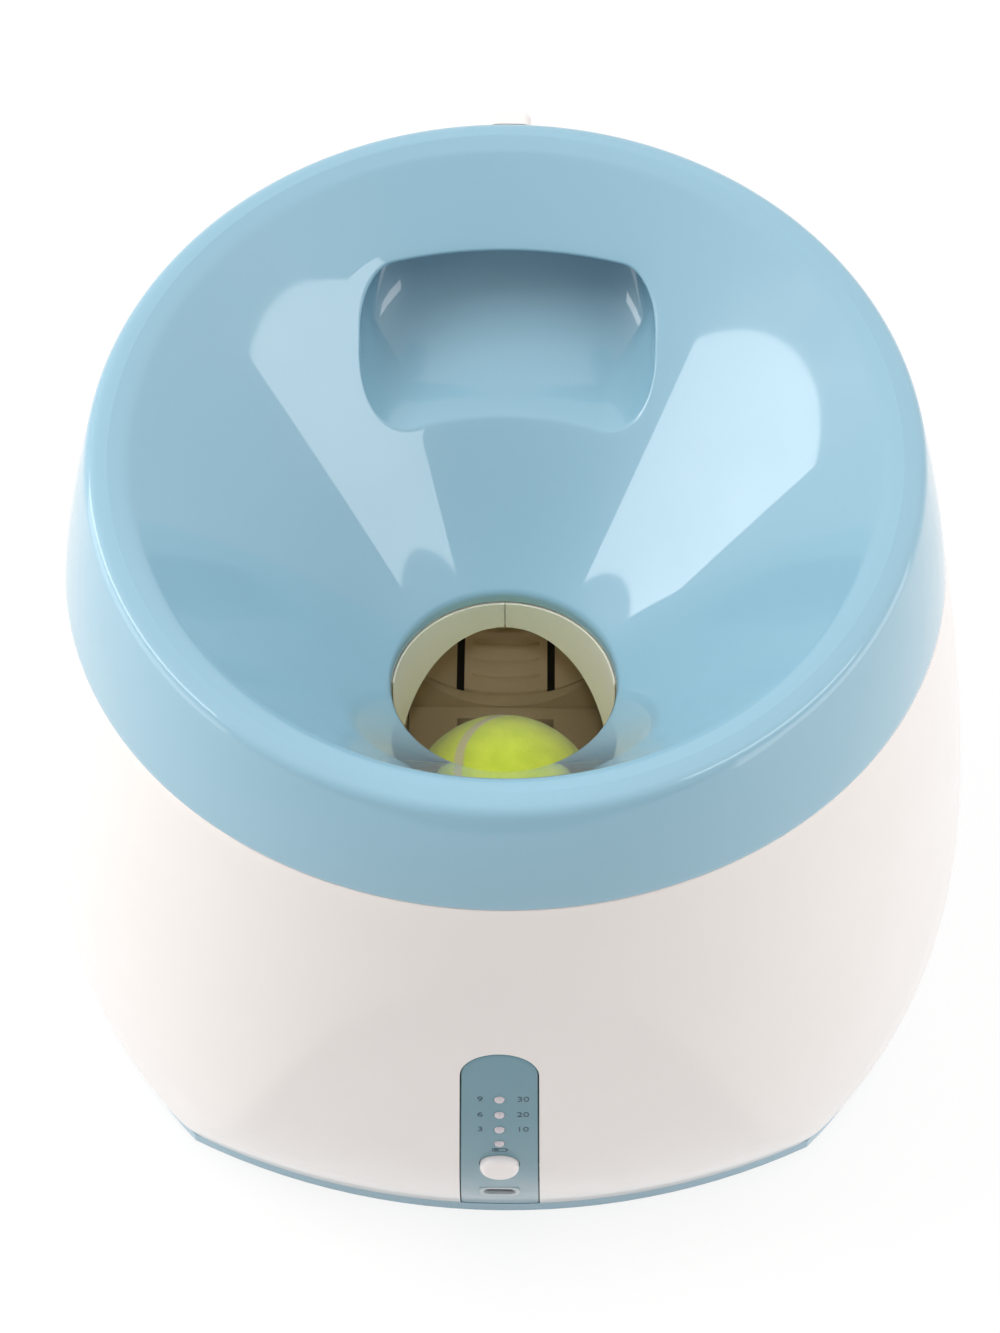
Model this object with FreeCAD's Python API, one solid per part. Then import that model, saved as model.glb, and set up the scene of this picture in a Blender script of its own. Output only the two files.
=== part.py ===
import FreeCAD, Part
import os
from math import cos, radians, sin, sqrt, tan

# Automatic ball launcher for dogs. Millimetres, +Z up. The origin is on the floor,
# on the vertical axis of the round body. Front (control panel) is -Y, outlet is +Y.

V = FreeCAD.Vector
UP = V(0, 0, 1)
ACROSS = V(1, 0, 0)

# ---- ball and running clearances
ball_radius = 32.5
running_gap = 0.4          # between loose pieces that may never touch
fit_gap = 0.06             # radial clearance of a shaft in its bore
seat_gap = 0.2             # round a piece that is glued or pressed into a recess
past = 1.0                 # cutting tools run this far past the piece they cut

# ---- round outer body
shell_wall = 2.8
base_top = 6.0             # the body stands on the base here
belly_height = 50.0
belly_radius = 157.0
foot_radius = 148.4        # radius where the body meets the base
flank_height, flank_radius = 118.0, 152.2
shoulder_height, shoulder_radius = 162.0, 144.6
seam_height = 200.0
seam_radius = 136.2

# ---- flattened front with its bell-shaped arch
apron_axis_y = 105.0       # the front is turned about this line, behind the body axis
apron_foot = 129.3         # distance of the front from the body axis, by height
apron_profile = [(30.0, 138.5), (57.0, 146.0), (90.0, 148.0), (134.0, 145.7), (171.0, 142.7)]
apron_top_height, apron_top = 205.0, 139.0
arch_round = 30.0
web_thickness = 3.0        # ribs that tie screw bosses to the wall
base_boss_top, base_bore_top = 28.0, 22.0
boss_skirt = 6.0           # the base's bosses may reach this far outside their circle
seam_ledge = 3.0
ledge_margin = 3.0         # round the heads of the top's screws

# ---- base and feet
foot_stand = 1.2           # the rubber feet stand this far below the base
base_skin = 2.5
base_rim = 6.0
pad_radius, pad_recess = 10.0, 0.8
pad_circle = 118.0
pad_angles = [50, 130, 228, 312]    # and one pad in the middle

# ---- blue top: skirt, lip, funnel and handle recess
top_wall = 3.0
rim_tilt = 8.0             # the rim rises towards the rear
rim_height = 248.8         # centre of the rim
rim_centre_y = -1.0
rim_radius = 124.0
rim_edge_radius = 117.0    # inner edge of the rim's flat crest
rim_round = 4.5
skirt_crown = 0.9
lip_radius, lip_drop = 111.0, 1.2
lip_round = 8.0
funnel_overrun = 1.0
throat_growth = 1.12       # the funnel's wall is a little thicker at the neck
top_boss_height = 14.0
hole_y = -33.4             # the hole lies in front of the body's axis
hole_radius = 35.1
hole_height = 167.7        # lower edge of the funnel's neck
neck_height = 4.5
neck_round = 7.0
recess_half_width = 46.7
recess_floor, recess_ceiling = 208.1, 240.4
recess_low_corner, recess_high_corner = 18.0, 10.0
recess_back = 108.0        # distance of the back wall from the body axis
recess_round = 8.0         # between the back wall and the sides
recess_wall = 2.4
recess_start = 20.0        # the cut starts in front of the funnel's rear wall

# ---- control panel in the front
panel_foot_half_width = 13.3
panel_half_width = 11.6    # where the round top begins
panel_gap = 0.3
panel_top = 136.0
panel_flange = 4.0
panel_flange_skin = 2.0
light_heights = [85.0, 93.85, 102.7, 111.55]
light_radius = 1.7
light_proud = 0.8
button_height = 70.4
button_radius = 6.15
button_proud = 3.2
button_round = 1.6
button_gap = 0.3
button_flange_gap = 1.2
button_flange_reach, button_flange_skin = 1.2, 1.2
stem_radius = 2.2
switch_half_width, switch_depth, switch_skin = 3.5, 3.5, 0.2
plunger_radius, plunger_proud, plunger_seat = 1.7, 1.6, 1.4
port_height = 43.5
port_half_width, port_half_height = 6.6, 3.0
socket_half_width, socket_half_height = 5.1, 1.75
board_front_y = -128.0
board_thickness = 1.6
board_half_width = 20.0
board_low, board_high = 27.0, 124.0
post_radius, post_x, post_inset = 3.0, 11.5, 6.0
chip_layout = [(0, 66, 6, 12, 2.6), (-9, 96, 6, 8, 6.4), (9, 96, 6, 8, 6.4), (0, 44, 12, 8, 7.4)]
port_proud = 0.8
port_collar_gap = 4.0
socket_skin = 0.4
socket_inset = 0.6         # behind the panel's face
socket_tongue_inset, socket_tongue_half_width, socket_tongue_half_height = 0.8, 3.4, 0.35
socket_back, socket_tongue_back = 4.0, 3.0
panel_screw_gap = 0.4      # free depth under the board's screws
slot_rounding = 0.98       # corner radius in half heights
light_dome = 1.3           # radius of the domes, in light radii
front_reach, front_depth = -160.0, -105.0

# ---- feed chamber under the funnel
chamber_lap = 0.6          # the chamber is this much wider than the hole
chamber_wall = 3.0
tunnel_half_width = 34.5
tunnel_ceiling = 155.5
ledge_depth = 2.2
clamp_half = 10.0
chamber_screw_x = 47.0
chamber_foot_half, chamber_foot_height = 6.0, 5.0
clamp_sink = 1.0           # the clamp bosses' overlap with the wall
clamp_heights = (60.0, 140.0)
clamp_rear_y = 46.0
eye_radius, eye_flange, eye_length = 2.5, 1.0, 9.0
eye_inset, eye_flange_gap = 0.2, 0.1
tunnel_rear = 2.0          # the tunnel's walls end this far behind the nip
barrel_front, barrel_hollow_front, barrel_rear = -26.0, -24.0, 165.0
barrel_joint = 35.0        # the barrel begins this far behind the nip
collar_lap, collar_rear, collar_wall = 4.5, 4.0, 3.0    # its socket on the chamber's end

# ---- ramp, rocking feed tongue and its lever
ramp_slope = 6.0
pivot_y, pivot_z = 19.0, 72.6
tongue_half_width = 14.6
tongue_reach = 80.0
tongue_skin = 2.2
rib_height, rib_width, rib_pitch, rib_count = 1.1, 3.2, 6.2, 12
rail_width = 2.8
rail_height = 1.5
tongue_crown = 3.5         # rib tops above the pivot
slot_half_width = 17.0
ramp_skin = 3.0
ramp_drop = 1.0            # ramp top below the rib tops
tongue_edge, tongue_edge_drop = 2.0, 4.0
rib_start, rib_sink = 3.0, 0.5
slot_front_gap, slot_rear = 2.0, 5.0
ear_gap, ear_width = 0.4, 4.0
ear_half_length, ear_drop, ear_rise = 5.0, 4.5, 1.0
eye_clearance = 0.1
pin_radius = 1.5
lever_length = 25.0
lever_pivot_y = -16.0
roller_radius, roller_half_width = 5.0, 3.0
roller_gap = 0.6
lever_cheek, cheek_gap = 2.0, 0.3
lever_tip_radius, lever_hub_radius = 3.4, 5.0
lever_half_height, lever_tail = 2.6, 8.0
lever_shaft_radius = 2.5
roller_pin_radius = 1.2
gearbox_inner_x, gearbox_width = 17.0, 14.5
gearbox_half_length, gearbox_drop, gearbox_rise = 12.0, 14.0, 5.5
gearmotor_drop = 5.0
shaft_seat, gearbox_bore = 4.0, 5.0
stand_skin, stand_leg = 2.0, 2.5

# ---- launch wheels and barrel
launch_slope = 10.0
nip_y, nip_z = 29.0, 111.9
barrel_radius = 35.0
wheel_radius = 30.0
wheel_half_width = 10.0
nip_gap = 61.0             # between the tyres, less than the ball
tyre_thickness = 5.0
wheel_window_gap = 3.0
tyre_chamfer = 1.5
hub_rim, hub_disc_half, hub_boss_radius, hub_boss_inset = 3.0, 1.5, 5.0, 4.0
hub_holes, hub_hole_radius, hub_hole_circle = 6, 4.0, 13.5
motor_radius, motor_length = 14.0, 38.0
motor_nose_radius, motor_nose, nose_gap = 4.5, 2.4, 0.5
motor_tail_radius, motor_tail = 5.0, 2.0
motor_shaft_radius = 1.6
motor_shaft_seat = 8.0
motor_bore = 9.0
motor_screw_x, motor_screw_reach, motor_screw_head = 9.0, 4.0, 1.4
motor_head_trim = 0.4      # these screws have smaller heads
mount_gap = 3.0            # between wheel and motor plate
mount_skin = 3.0
bezel_radius = 43.5
bezel_proud = 2.6
bezel_wall = 4.4
bezel_lap = 0.7
bracket_web_x = 86.0
bracket_screw_x = 92.5
bracket_screw_y = (20.0, 42.0)
bracket_foot_width, bracket_foot_height = 13.0, 5.0
plate_gap = 1.5            # between the motor plate and the tunnel's wall
plate_half_length = 22.0

# ---- battery
cell_radius, cell_length, cell_count = 9.2, 65.0, 4
battery_rear_y = 112.0
tray_skin, tray_height = 1.5, 14.0
cell_gap = 0.3
strap_half_length = 6.0

# ---- rear motion sensor
pod_half_width, pod_depth, pod_height = 7.0, 4.9, 26.0
pod_top = 262.0
pod_round = 3.0
pod_lens_radius, pod_lens_seat, pod_lens_proud = 4.2, 2.0, 1.0
pod_dome, pod_dome_proud = 1.25, 1.8

# ---- fasteners
base_screw_circle = 131.0
base_screw_angles = [22, 90, 158, 222, 318]
top_screw_circle = seam_radius - 10.7
top_screw_angles = [45, 135, 225, 315]
screw_radius, screw_head_radius, screw_head_height = 1.5, 3.2, 1.2
screw_pocket = 1.3
screw_hole_gap, head_gap = 0.3, 0.4
slot_half_length, slot_half_thickness, slot_depth = 2.0, 0.3, 0.7
base_screw_reach, foot_screw_reach = 14.0, 5.5
foot_bore_top = 12.0
board_bore_gap = 1.4
boss_radius = 4.5


def save(name, shape):
    if shape.ShapeType != "Solid" and len(shape.Solids) == 1:
        shape = shape.Solids[0]
    shape.exportStep("parts/" + name + ".step")
    print(name, len(shape.Solids), "solids", round(shape.Volume), "mm3", shape.isValid())


def cylinder(radius, start, end):
    """Round bar from one point to another."""
    axis = end.sub(start)
    return Part.makeCylinder(radius, axis.Length, start, axis)


def tube(outer, inner, start, end):
    """Ring or pipe from one point to another."""
    return cylinder(outer, start, end).cut(cylinder(inner, start, end))


def block(low, high):
    """Box between two corners."""
    size = V(*high).sub(V(*low))
    return Part.makeBox(size.x, size.y, size.z, V(*low))


def turned(profile):
    """Closed profile in the XZ plane, turned once round the vertical axis."""
    return Part.Face(Part.Wire(profile)).revolve(V(0, 0, 0), UP, 360)


def inner_floor():
    """Top of the base's skin, where the inner pieces stand."""
    return foot_stand + base_skin


def line(a, b):
    return Part.LineSegment(a, b).toShape()


def spline(points):
    curve = Part.BSplineCurve()
    curve.interpolate(points)
    return curve


def polygon(points):
    return Part.Face(Part.makePolygon(points + points[:1]))


def polar(radius, angle, height=0.0):
    return V(radius * cos(radians(angle)), radius * sin(radians(angle)), height)


def fused(shapes):
    return shapes[0].multiFuse(shapes[1:]) if len(shapes) > 1 else shapes[0]


def side_curve(extra):
    points = [V(foot_radius + extra, 0, base_top),
              V(belly_radius + extra, 0, belly_height),
              V(flank_radius + extra, 0, flank_height),
              V(shoulder_radius + extra, 0, shoulder_height),
              V(seam_radius + extra, 0, seam_height)]
    return spline(points)


def round_body(extra=0.0):
    """Body of revolution between the base and the seam, grown by extra."""
    low, high = V(0, 0, base_top), V(0, 0, seam_height)
    foot = V(foot_radius + extra, 0, base_top)
    seam = V(seam_radius + extra, 0, seam_height)
    return turned([line(low, foot), side_curve(extra).toShape(), line(seam, high), line(high, low)])


def apron_curve(extra):
    stations = [(base_top, apron_foot)] + apron_profile + [(apron_top_height, apron_top)]
    return spline([V(apron_axis_y + reach + extra, 0, height) for height, reach in stations])


def apron(extra=0.0):
    """Everything behind the flattened front."""
    low, high = V(0, 0, base_top), V(0, 0, apron_top_height)
    foot = V(apron_axis_y + apron_foot + extra, 0, base_top)
    top = V(apron_axis_y + apron_top + extra, 0, apron_top_height)
    profile = [line(low, foot), apron_curve(extra).toShape(), line(top, high), line(high, low)]
    solid = turned(profile)
    solid.translate(V(0, apron_axis_y, 0))
    return solid


def body_form(extra=0.0):
    return round_body(extra).common(apron(extra))


def apron_at(height):
    """Distance of the front surface from the body axis at a height."""
    curve = apron_curve(0.0)
    level = Part.Plane(V(0, 0, height), UP)
    point = curve.intersect(level)[0][0]
    return point.X - apron_axis_y


def panel_prism(grow, low):
    """Round-topped bar through the front wall."""
    half = panel_half_width + grow
    foot = panel_foot_half_width + grow
    arch_z = panel_top - panel_half_width
    near, far = front_reach, front_depth
    outline = [line(V(-foot, near, low), V(foot, near, low)),
               line(V(foot, near, low), V(half, near, arch_z)),
               Part.Arc(V(half, near, arch_z), V(0, near, arch_z + half), V(-half, near, arch_z)).toShape(),
               line(V(-half, near, arch_z), V(-foot, near, low))]
    return Part.Face(Part.Wire(outline)).extrude(V(0, far - near, 0))


def launch_place(shape):
    """Moves a shape from the launcher's own axes to the nip of the wheels."""
    shape.rotate(V(0, 0, 0), ACROSS, launch_slope)
    shape.translate(V(0, nip_y, nip_z))
    return shape


def barrel_bar(radius, start, end):
    return launch_place(cylinder(radius, V(0, start, 0), V(0, end, 0)))


def base_bosses():
    shapes = []
    half_web = web_thickness / 2
    for angle in base_screw_angles:
        boss = cylinder(boss_radius, polar(base_screw_circle, angle, inner_floor()),
                        polar(base_screw_circle, angle, base_boss_top))
        web = block((base_screw_circle, -half_web, base_top + web_thickness),
                    (belly_radius, half_web, base_boss_top))
        web.rotate(V(0, 0, 0), UP, angle)
        bore = cylinder(screw_radius + fit_gap, polar(base_screw_circle, angle, inner_floor()),
                        polar(base_screw_circle, angle, base_bore_top))
        shapes.append(boss.fuse(web).cut(bore))
    return shapes


def seam_flange():
    """Ledge inside the body's top edge, with the holes for the top's screws."""
    inner = top_screw_circle - screw_head_radius - ledge_margin
    under = seam_height - seam_ledge
    ledge = tube(seam_radius, inner, V(0, 0, under), V(0, 0, seam_height))
    for angle in top_screw_angles:
        ledge = ledge.cut(cylinder(screw_radius + screw_hole_gap,
                                   polar(top_screw_circle, angle, under - past),
                                   polar(top_screw_circle, angle, seam_height + past)))
    return ledge


def outer_body():
    outer = body_form()
    arch = [edge for edge in outer.Edges
            if edge.BoundBox.ZLength > seam_height / 3 and edge.BoundBox.YMax < -foot_radius / 3
            and edge.BoundBox.XLength > foot_radius / 3]
    outer = outer.makeFillet(arch_round, arch)
    inner = body_form(-shell_wall)
    cavity_top = cylinder(seam_radius - shell_wall, V(0, 0, seam_height - past),
                          V(0, 0, seam_height + past))
    shell = outer.cut(inner).cut(cavity_top)
    inside = fused([seam_flange()] + base_bosses()).common(
        fused([body_form(-shell_wall / 2),
               cylinder(base_screw_circle + boss_skirt, V(0, 0, 0), V(0, 0, base_top))]))
    shell = shell.fuse(inside)
    shell = shell.cut(panel_prism(panel_gap, 0.0))
    return shell.cut(barrel_bar(bezel_outer_radius() + seat_gap, ball_radius, barrel_rear))


def bezel_outer_radius():
    return barrel_radius + bezel_lap + bezel_wall


def outlet_bezel():
    """Blue ring round the outlet: a sleeve through the wall and a flange outside it."""
    raised = body_form(bezel_proud)
    sleeve = barrel_bar(bezel_outer_radius(), ball_radius, barrel_rear).common(raised)
    flange = barrel_bar(bezel_radius, ball_radius, barrel_rear).common(raised).cut(body_form())
    ring = sleeve.cut(body_form(-shell_wall)).fuse(flange)
    return ring.cut(barrel_bar(barrel_radius + bezel_lap, ball_radius - past, barrel_rear + past))


def rim_axis():
    return V(0, -sin(radians(rim_tilt)), cos(radians(rim_tilt)))


def rim_circle(radius, rise):
    """Circle in the tilted rim's plane, raised along the rim's own axis."""
    centre = V(0, rim_centre_y, rim_height).add(rim_axis() * rise)
    return Part.Wire(Part.Circle(centre, rim_axis(), radius).toShape())


def level_circle(radius, height, y=0.0):
    return Part.Wire(Part.Circle(V(0, y, height), UP, radius).toShape())


def skirt_form(shrink=0.0, drop=0.0):
    """Outside of the top from the seam to the rim, shrunk by a wall."""
    half_tilt = radians(rim_tilt / 2)
    middle_centre = V(0, rim_centre_y / 2, (seam_height + rim_height) / 2)
    middle_radius = (seam_radius + rim_radius) / 2 + skirt_crown - shrink
    middle = Part.Wire(Part.Circle(middle_centre, V(0, -sin(half_tilt), cos(half_tilt)),
                                   middle_radius).toShape())
    sections = [level_circle(seam_radius - shrink, seam_height), middle,
                rim_circle(rim_radius - shrink, -drop)]
    form = Part.makeLoft(sections, True, False)
    crest = [edge for edge in form.Edges if edge.BoundBox.ZMin > seam_height + 10]
    return form.makeFillet(rim_round, crest)


def funnel_form(grow=0.0):
    """Hollow of the funnel with its lip; grown by a wall it is the funnel's outside."""
    slope = lip_drop / (rim_edge_radius - lip_radius)
    edge_rise = funnel_overrun if grow == 0 else -grow
    edge = rim_circle(rim_edge_radius + max(edge_rise, 0.0) / slope, edge_rise)
    neck_radius = lip_radius + grow / 2
    neck = rim_circle(neck_radius, -lip_drop - grow)
    throat_radius = hole_radius + grow * throat_growth
    throat_top = level_circle(throat_radius, hole_height + neck_height, hole_y)
    throat = level_circle(throat_radius, hole_height, hole_y)
    form = Part.makeLoft([edge, neck, throat_top, throat], True, True)
    form = form.makeFillet(lip_round, circle_edges(form, neck_radius, hole_height))
    return form.makeFillet(neck_round, circle_edges(form, throat_radius, hole_height))


def circle_edges(form, radius, above):
    """Edges that lie on circles of one radius, over a height."""
    return [edge for edge in form.Edges if edge.Curve.TypeId == "Part::GeomCircle"
            and abs(edge.Curve.Radius - radius) < 0.01 and edge.BoundBox.ZMin > above + 0.1]


def recess_form(grow=0.0):
    """Finger recess in the rear wall: a rounded bar with a curved back."""
    half = recess_half_width + grow
    low, high = recess_floor - grow, recess_ceiling + grow
    deep, tight = recess_low_corner + grow, recess_high_corner + grow
    outline = Part.Wire(rounded_outline(half, low, high, deep, tight, recess_start))
    back = recess_back + grow
    bar = Part.Face(outline).extrude(V(0, back, 0))
    bar = bar.common(cylinder(back, V(0, 0, low - past), V(0, 0, high + past)))
    rear = [edge for edge in bar.Edges if edge.BoundBox.YMin > back / 2 and edge.BoundBox.YLength < back / 6]
    return bar.makeFillet(recess_round + grow, rear)


def rounded_outline(half, low, high, low_corner, high_corner, y):
    """Upright rounded rectangle with its own radii at the bottom and at the top."""
    diagonal = 1 - sqrt(0.5)

    def corner(side, z, radius, up):
        cx, cz = side * (half - radius), z + up * radius
        return (V(side * half, y, cz), V(side * (half - diagonal * radius), y, z + up * diagonal * radius),
                V(cx, y, z))

    a = corner(1, low, low_corner, 1)
    b = corner(1, high, high_corner, -1)
    c = corner(-1, high, high_corner, -1)
    d = corner(-1, low, low_corner, 1)
    return [Part.Arc(a[2], a[1], a[0]).toShape(), line(a[0], b[0]),
            Part.Arc(b[0], b[1], b[2]).toShape(), line(b[2], c[2]),
            Part.Arc(c[2], c[1], c[0]).toShape(), line(c[0], d[0]),
            Part.Arc(d[0], d[1], d[2]).toShape(), line(d[2], a[2])]


def top_bosses():
    shapes = []
    half_web = web_thickness / 2
    top = seam_height + top_boss_height
    for angle in top_screw_angles:
        boss = cylinder(boss_radius, polar(top_screw_circle, angle, seam_height),
                        polar(top_screw_circle, angle, top))
        web = block((top_screw_circle, -half_web, seam_height), (seam_radius, half_web, top))
        web.rotate(V(0, 0, 0), UP, angle)
        bore = cylinder(screw_radius + fit_gap, polar(top_screw_circle, angle, seam_height),
                        polar(top_screw_circle, angle, top - 2 * past))
        shapes.append(boss.fuse(web).cut(bore))
    return shapes


def funnel_cap():
    outside = skirt_form()
    shell = outside.cut(skirt_form(top_wall, top_wall))
    bosses = fused(top_bosses()).common(outside)
    funnel = funnel_form(top_wall)
    recess = recess_form(recess_wall)
    cap = fused([shell, bosses, funnel, recess])
    return cap.cut(funnel_form()).cut(recess_form())


def sensor_pod():
    """Small housing at the rear, under the rim's highest point."""
    outer_y = pod_face()
    pod = block((-pod_half_width, lip_radius, pod_top - pod_height), (pod_half_width, outer_y, pod_top))
    rear = [edge for edge in pod.Edges
            if edge.BoundBox.YMin > outer_y - 0.1 or (edge.BoundBox.ZMin > pod_top - 0.1
                                                      and edge.BoundBox.XLength < 0.1)]
    pod = pod.makeFillet(pod_round, rear)
    pod = pod.cut(skirt_form())
    return pod.cut(cylinder(pod_lens_radius + fit_gap, V(0, outer_y - pod_lens_seat, pod_lens_height()),
                            V(0, outer_y + past, pod_lens_height())))


def pod_lens_height():
    return pod_top - pod_height / 2


def pod_face():
    """Outer face of the pod, from a straight line between the seam and the rim at the rear."""
    rim_y = rim_centre_y + rim_radius * cos(radians(rim_tilt))
    rim_z = rim_height + rim_radius * sin(radians(rim_tilt))
    share = (pod_lens_height() - seam_height) / (rim_z - seam_height)
    return seam_radius + (rim_y - seam_radius) * share + pod_depth


def sensor_lens():
    outer_y = pod_face()
    height = pod_lens_height()
    seat = V(0, outer_y - pod_lens_seat, height)
    disc = cylinder(pod_lens_radius, seat, V(0, outer_y + pod_lens_proud, height))
    dome_radius = pod_lens_radius * pod_dome
    dome = Part.makeSphere(dome_radius, V(0, outer_y + pod_dome_proud - dome_radius, height))
    return disc.common(dome.fuse(cylinder(pod_lens_radius, seat, V(0, outer_y, height))))


def base_outline(shrink, low, high):
    round_part = cylinder(foot_radius - shrink, V(0, 0, low), V(0, 0, high))
    front_part = cylinder(apron_axis_y + apron_foot - shrink, V(0, apron_axis_y, low),
                          V(0, apron_axis_y, high))
    return round_part.common(front_part)


def screw_through_base(x, y):
    """Hole and head pocket under the base for one screw."""
    hole = cylinder(screw_radius + screw_hole_gap, V(x, y, 0), V(x, y, inner_floor() + past))
    pocket = cylinder(screw_head_radius + head_gap, V(x, y, 0), V(x, y, foot_stand + screw_pocket))
    return hole.fuse(pocket)


def base_screw(x, y, reach):
    """Pan head screw driven up through the base."""
    seat = foot_stand + screw_pocket
    head = cylinder(screw_head_radius, V(x, y, seat - screw_head_height), V(x, y, seat))
    shank = cylinder(screw_radius, V(x, y, seat), V(x, y, seat + reach))
    slot = block((x - slot_half_length, y - slot_half_thickness, seat - screw_head_height),
                 (x + slot_half_length, y + slot_half_thickness, seat - screw_head_height + slot_depth))
    return head.fuse(shank).cut(slot)


def base_points():
    return [polar(base_screw_circle, angle) for angle in base_screw_angles]


def bracket_points():
    return [V(side * bracket_screw_x, y, 0) for side in (-1, 1) for y in bracket_screw_y]


def chamber_points():
    return [V(side * chamber_screw_x, hole_y, 0) for side in (-1, 1)]


def pad_points():
    return [polar(pad_circle, angle) for angle in pad_angles] + [V(0, 0, 0)]


def base_plate():
    plate = base_outline(0, foot_stand, base_top)
    plate = plate.cut(base_outline(base_rim, inner_floor(), base_top + past))
    for point in pad_points():
        plate = plate.cut(cylinder(pad_radius + seat_gap, point, point.add(UP * (foot_stand + pad_recess))))
    for point in base_points() + bracket_points() + chamber_points():
        plate = plate.cut(screw_through_base(point.x, point.y))
    return plate


def rubber_feet():
    return Part.makeCompound([cylinder(pad_radius, point, point.add(UP * (foot_stand + pad_recess)))
                              for point in pad_points()])


def screws_at(points, reach):
    return Part.makeCompound([base_screw(point.x, point.y, reach) for point in points])


def top_screws():
    screws = []
    seat = seam_height - seam_ledge
    for angle in top_screw_angles:
        head = cylinder(screw_head_radius, polar(top_screw_circle, angle, seat - screw_head_height),
                        polar(top_screw_circle, angle, seat))
        shank = cylinder(screw_radius, polar(top_screw_circle, angle, seat),
                         polar(top_screw_circle, angle, seam_height + top_boss_height - 4 * past))
        screws.append(head.fuse(shank))
    return Part.makeCompound(screws)


def along_front(radius, x, z, near, far):
    """Round bar along Y through the front wall."""
    return cylinder(radius, V(x, near, z), V(x, far, z))


def board_posts():
    posts = []
    for z in (board_low + post_inset, board_high - post_inset):
        for side in (-1, 1):
            posts.append(along_front(post_radius, side * post_x, z, front_reach, board_front_y))
    return fused(posts).common(body_form(-shell_wall))


def board_points():
    return [(side * post_x, z) for z in (board_low + post_inset, board_high - post_inset)
            for side in (-1, 1)]


def slot_bar(half_width, half_height, near, far):
    outline = Part.Wire(rounded_outline(half_width, port_height - half_height, port_height + half_height,
                                        half_height * slot_rounding, half_height * slot_rounding, near))
    return Part.Face(outline).extrude(V(0, far - near, 0))


def control_panel():
    skin = body_form().common(panel_prism(0, base_top)).cut(body_form(-shell_wall))
    flange = body_form(-shell_wall).common(panel_prism(panel_flange, base_top))
    flange = flange.cut(body_form(-shell_wall - panel_flange_skin))
    panel = fused([skin, flange, board_posts()])
    behind = board_front_y - past
    for z in light_heights:
        panel = panel.cut(along_front(light_radius + fit_gap, 0, z, front_reach, behind))
    panel = panel.cut(along_front(button_radius + button_gap, 0, button_height, front_reach, behind))
    panel = panel.cut(slot_bar(port_half_width + fit_gap, port_half_height + fit_gap, front_reach, behind))
    for x, z in board_points():
        panel = panel.cut(along_front(screw_radius + fit_gap, x, z, board_front_y - board_bore_gap,
                                      board_front_y))
    return panel


def indicator_lights():
    """Four domed light pipes from the board to the front."""
    lights = []
    for z in light_heights:
        tip = -apron_at(z) - light_proud
        bar = along_front(light_radius, 0, z, tip, board_front_y)
        dome_radius = light_radius * light_dome
        dome = Part.makeSphere(dome_radius, V(0, tip + dome_radius, z))
        shoulder = along_front(light_radius, 0, z, tip + light_radius / 2, board_front_y)
        lights.append(bar.common(dome.fuse(shoulder)))
    return Part.makeCompound(lights)


def power_button():
    face = -apron_at(button_height) - button_proud
    flange_y = -apron_at(button_height) + shell_wall + panel_flange_skin + button_flange_gap
    cap = along_front(button_radius, 0, button_height, face, flange_y)
    cap = cap.makeFillet(button_round, [edge for edge in cap.Edges if edge.BoundBox.YMax < face + 0.1])
    flange = along_front(button_radius + button_flange_reach, 0, button_height, flange_y,
                         flange_y + button_flange_skin)
    stem = along_front(stem_radius, 0, button_height, flange_y, board_front_y - switch_depth - plunger_proud)
    return fused([cap, flange, stem])


def button_switch():
    half = switch_half_width
    case = block((-half, board_front_y - switch_depth, button_height - half),
                 (half, board_front_y, button_height + half))
    return case.cut(along_front(plunger_radius + fit_gap, 0, button_height,
                                board_front_y - switch_depth - past, board_front_y - switch_skin))


def switch_plunger():
    start = board_front_y - switch_depth - plunger_proud
    return along_front(plunger_radius, 0, button_height, start, start + plunger_proud + plunger_seat)


def charge_port():
    """Moulded collar of the charging socket, a little proud of the panel."""
    collar = slot_bar(port_half_width, port_half_height, -apron_at(port_height) - port_proud,
                      board_front_y - port_collar_gap)
    return collar.cut(slot_bar(socket_half_width + fit_gap, socket_half_height + fit_gap,
                               front_reach, front_depth))


def charge_socket():
    near = -apron_at(port_height) + socket_inset
    shell = slot_bar(socket_half_width, socket_half_height, near, board_front_y)
    mouth = slot_bar(socket_half_width - socket_skin, socket_half_height - socket_skin, near,
                     board_front_y - socket_back)
    half, thin = socket_tongue_half_width, socket_tongue_half_height
    tongue = block((-half, near + socket_tongue_inset, port_height - thin),
                   (half, board_front_y - socket_tongue_back, port_height + thin))
    return shell.cut(mouth).fuse(tongue)


def control_board():
    board = block((-board_half_width, board_front_y, board_low),
                  (board_half_width, board_front_y + board_thickness, board_high))
    back = board_front_y + board_thickness
    chips = [block((x - half, back, z - height / 2), (x + half, back + depth, z + height / 2))
             for x, z, half, height, depth in chip_layout]
    board = fused([board] + chips)
    for x, z in board_points():
        board = board.cut(along_front(screw_radius + fit_gap, x, z, board_front_y - past, back + past))
    return board


def board_screws():
    back = board_front_y + board_thickness
    screws = []
    for x, z in board_points():
        head = along_front(screw_head_radius, x, z, back, back + screw_head_height)
        shank = along_front(screw_radius, x, z, board_front_y - board_bore_gap + panel_screw_gap, back)
        screws.append(head.fuse(shank))
    return Part.makeCompound(screws)


def wheel_centre(side):
    return V(side * (nip_gap / 2 + wheel_radius), 0, 0)


def chamber_radius():
    return hole_radius + chamber_lap


def chamber_bar(radius, low, high):
    """Upright round bar under the funnel's hole."""
    return cylinder(radius, V(0, hole_y, low), V(0, hole_y, high))


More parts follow.
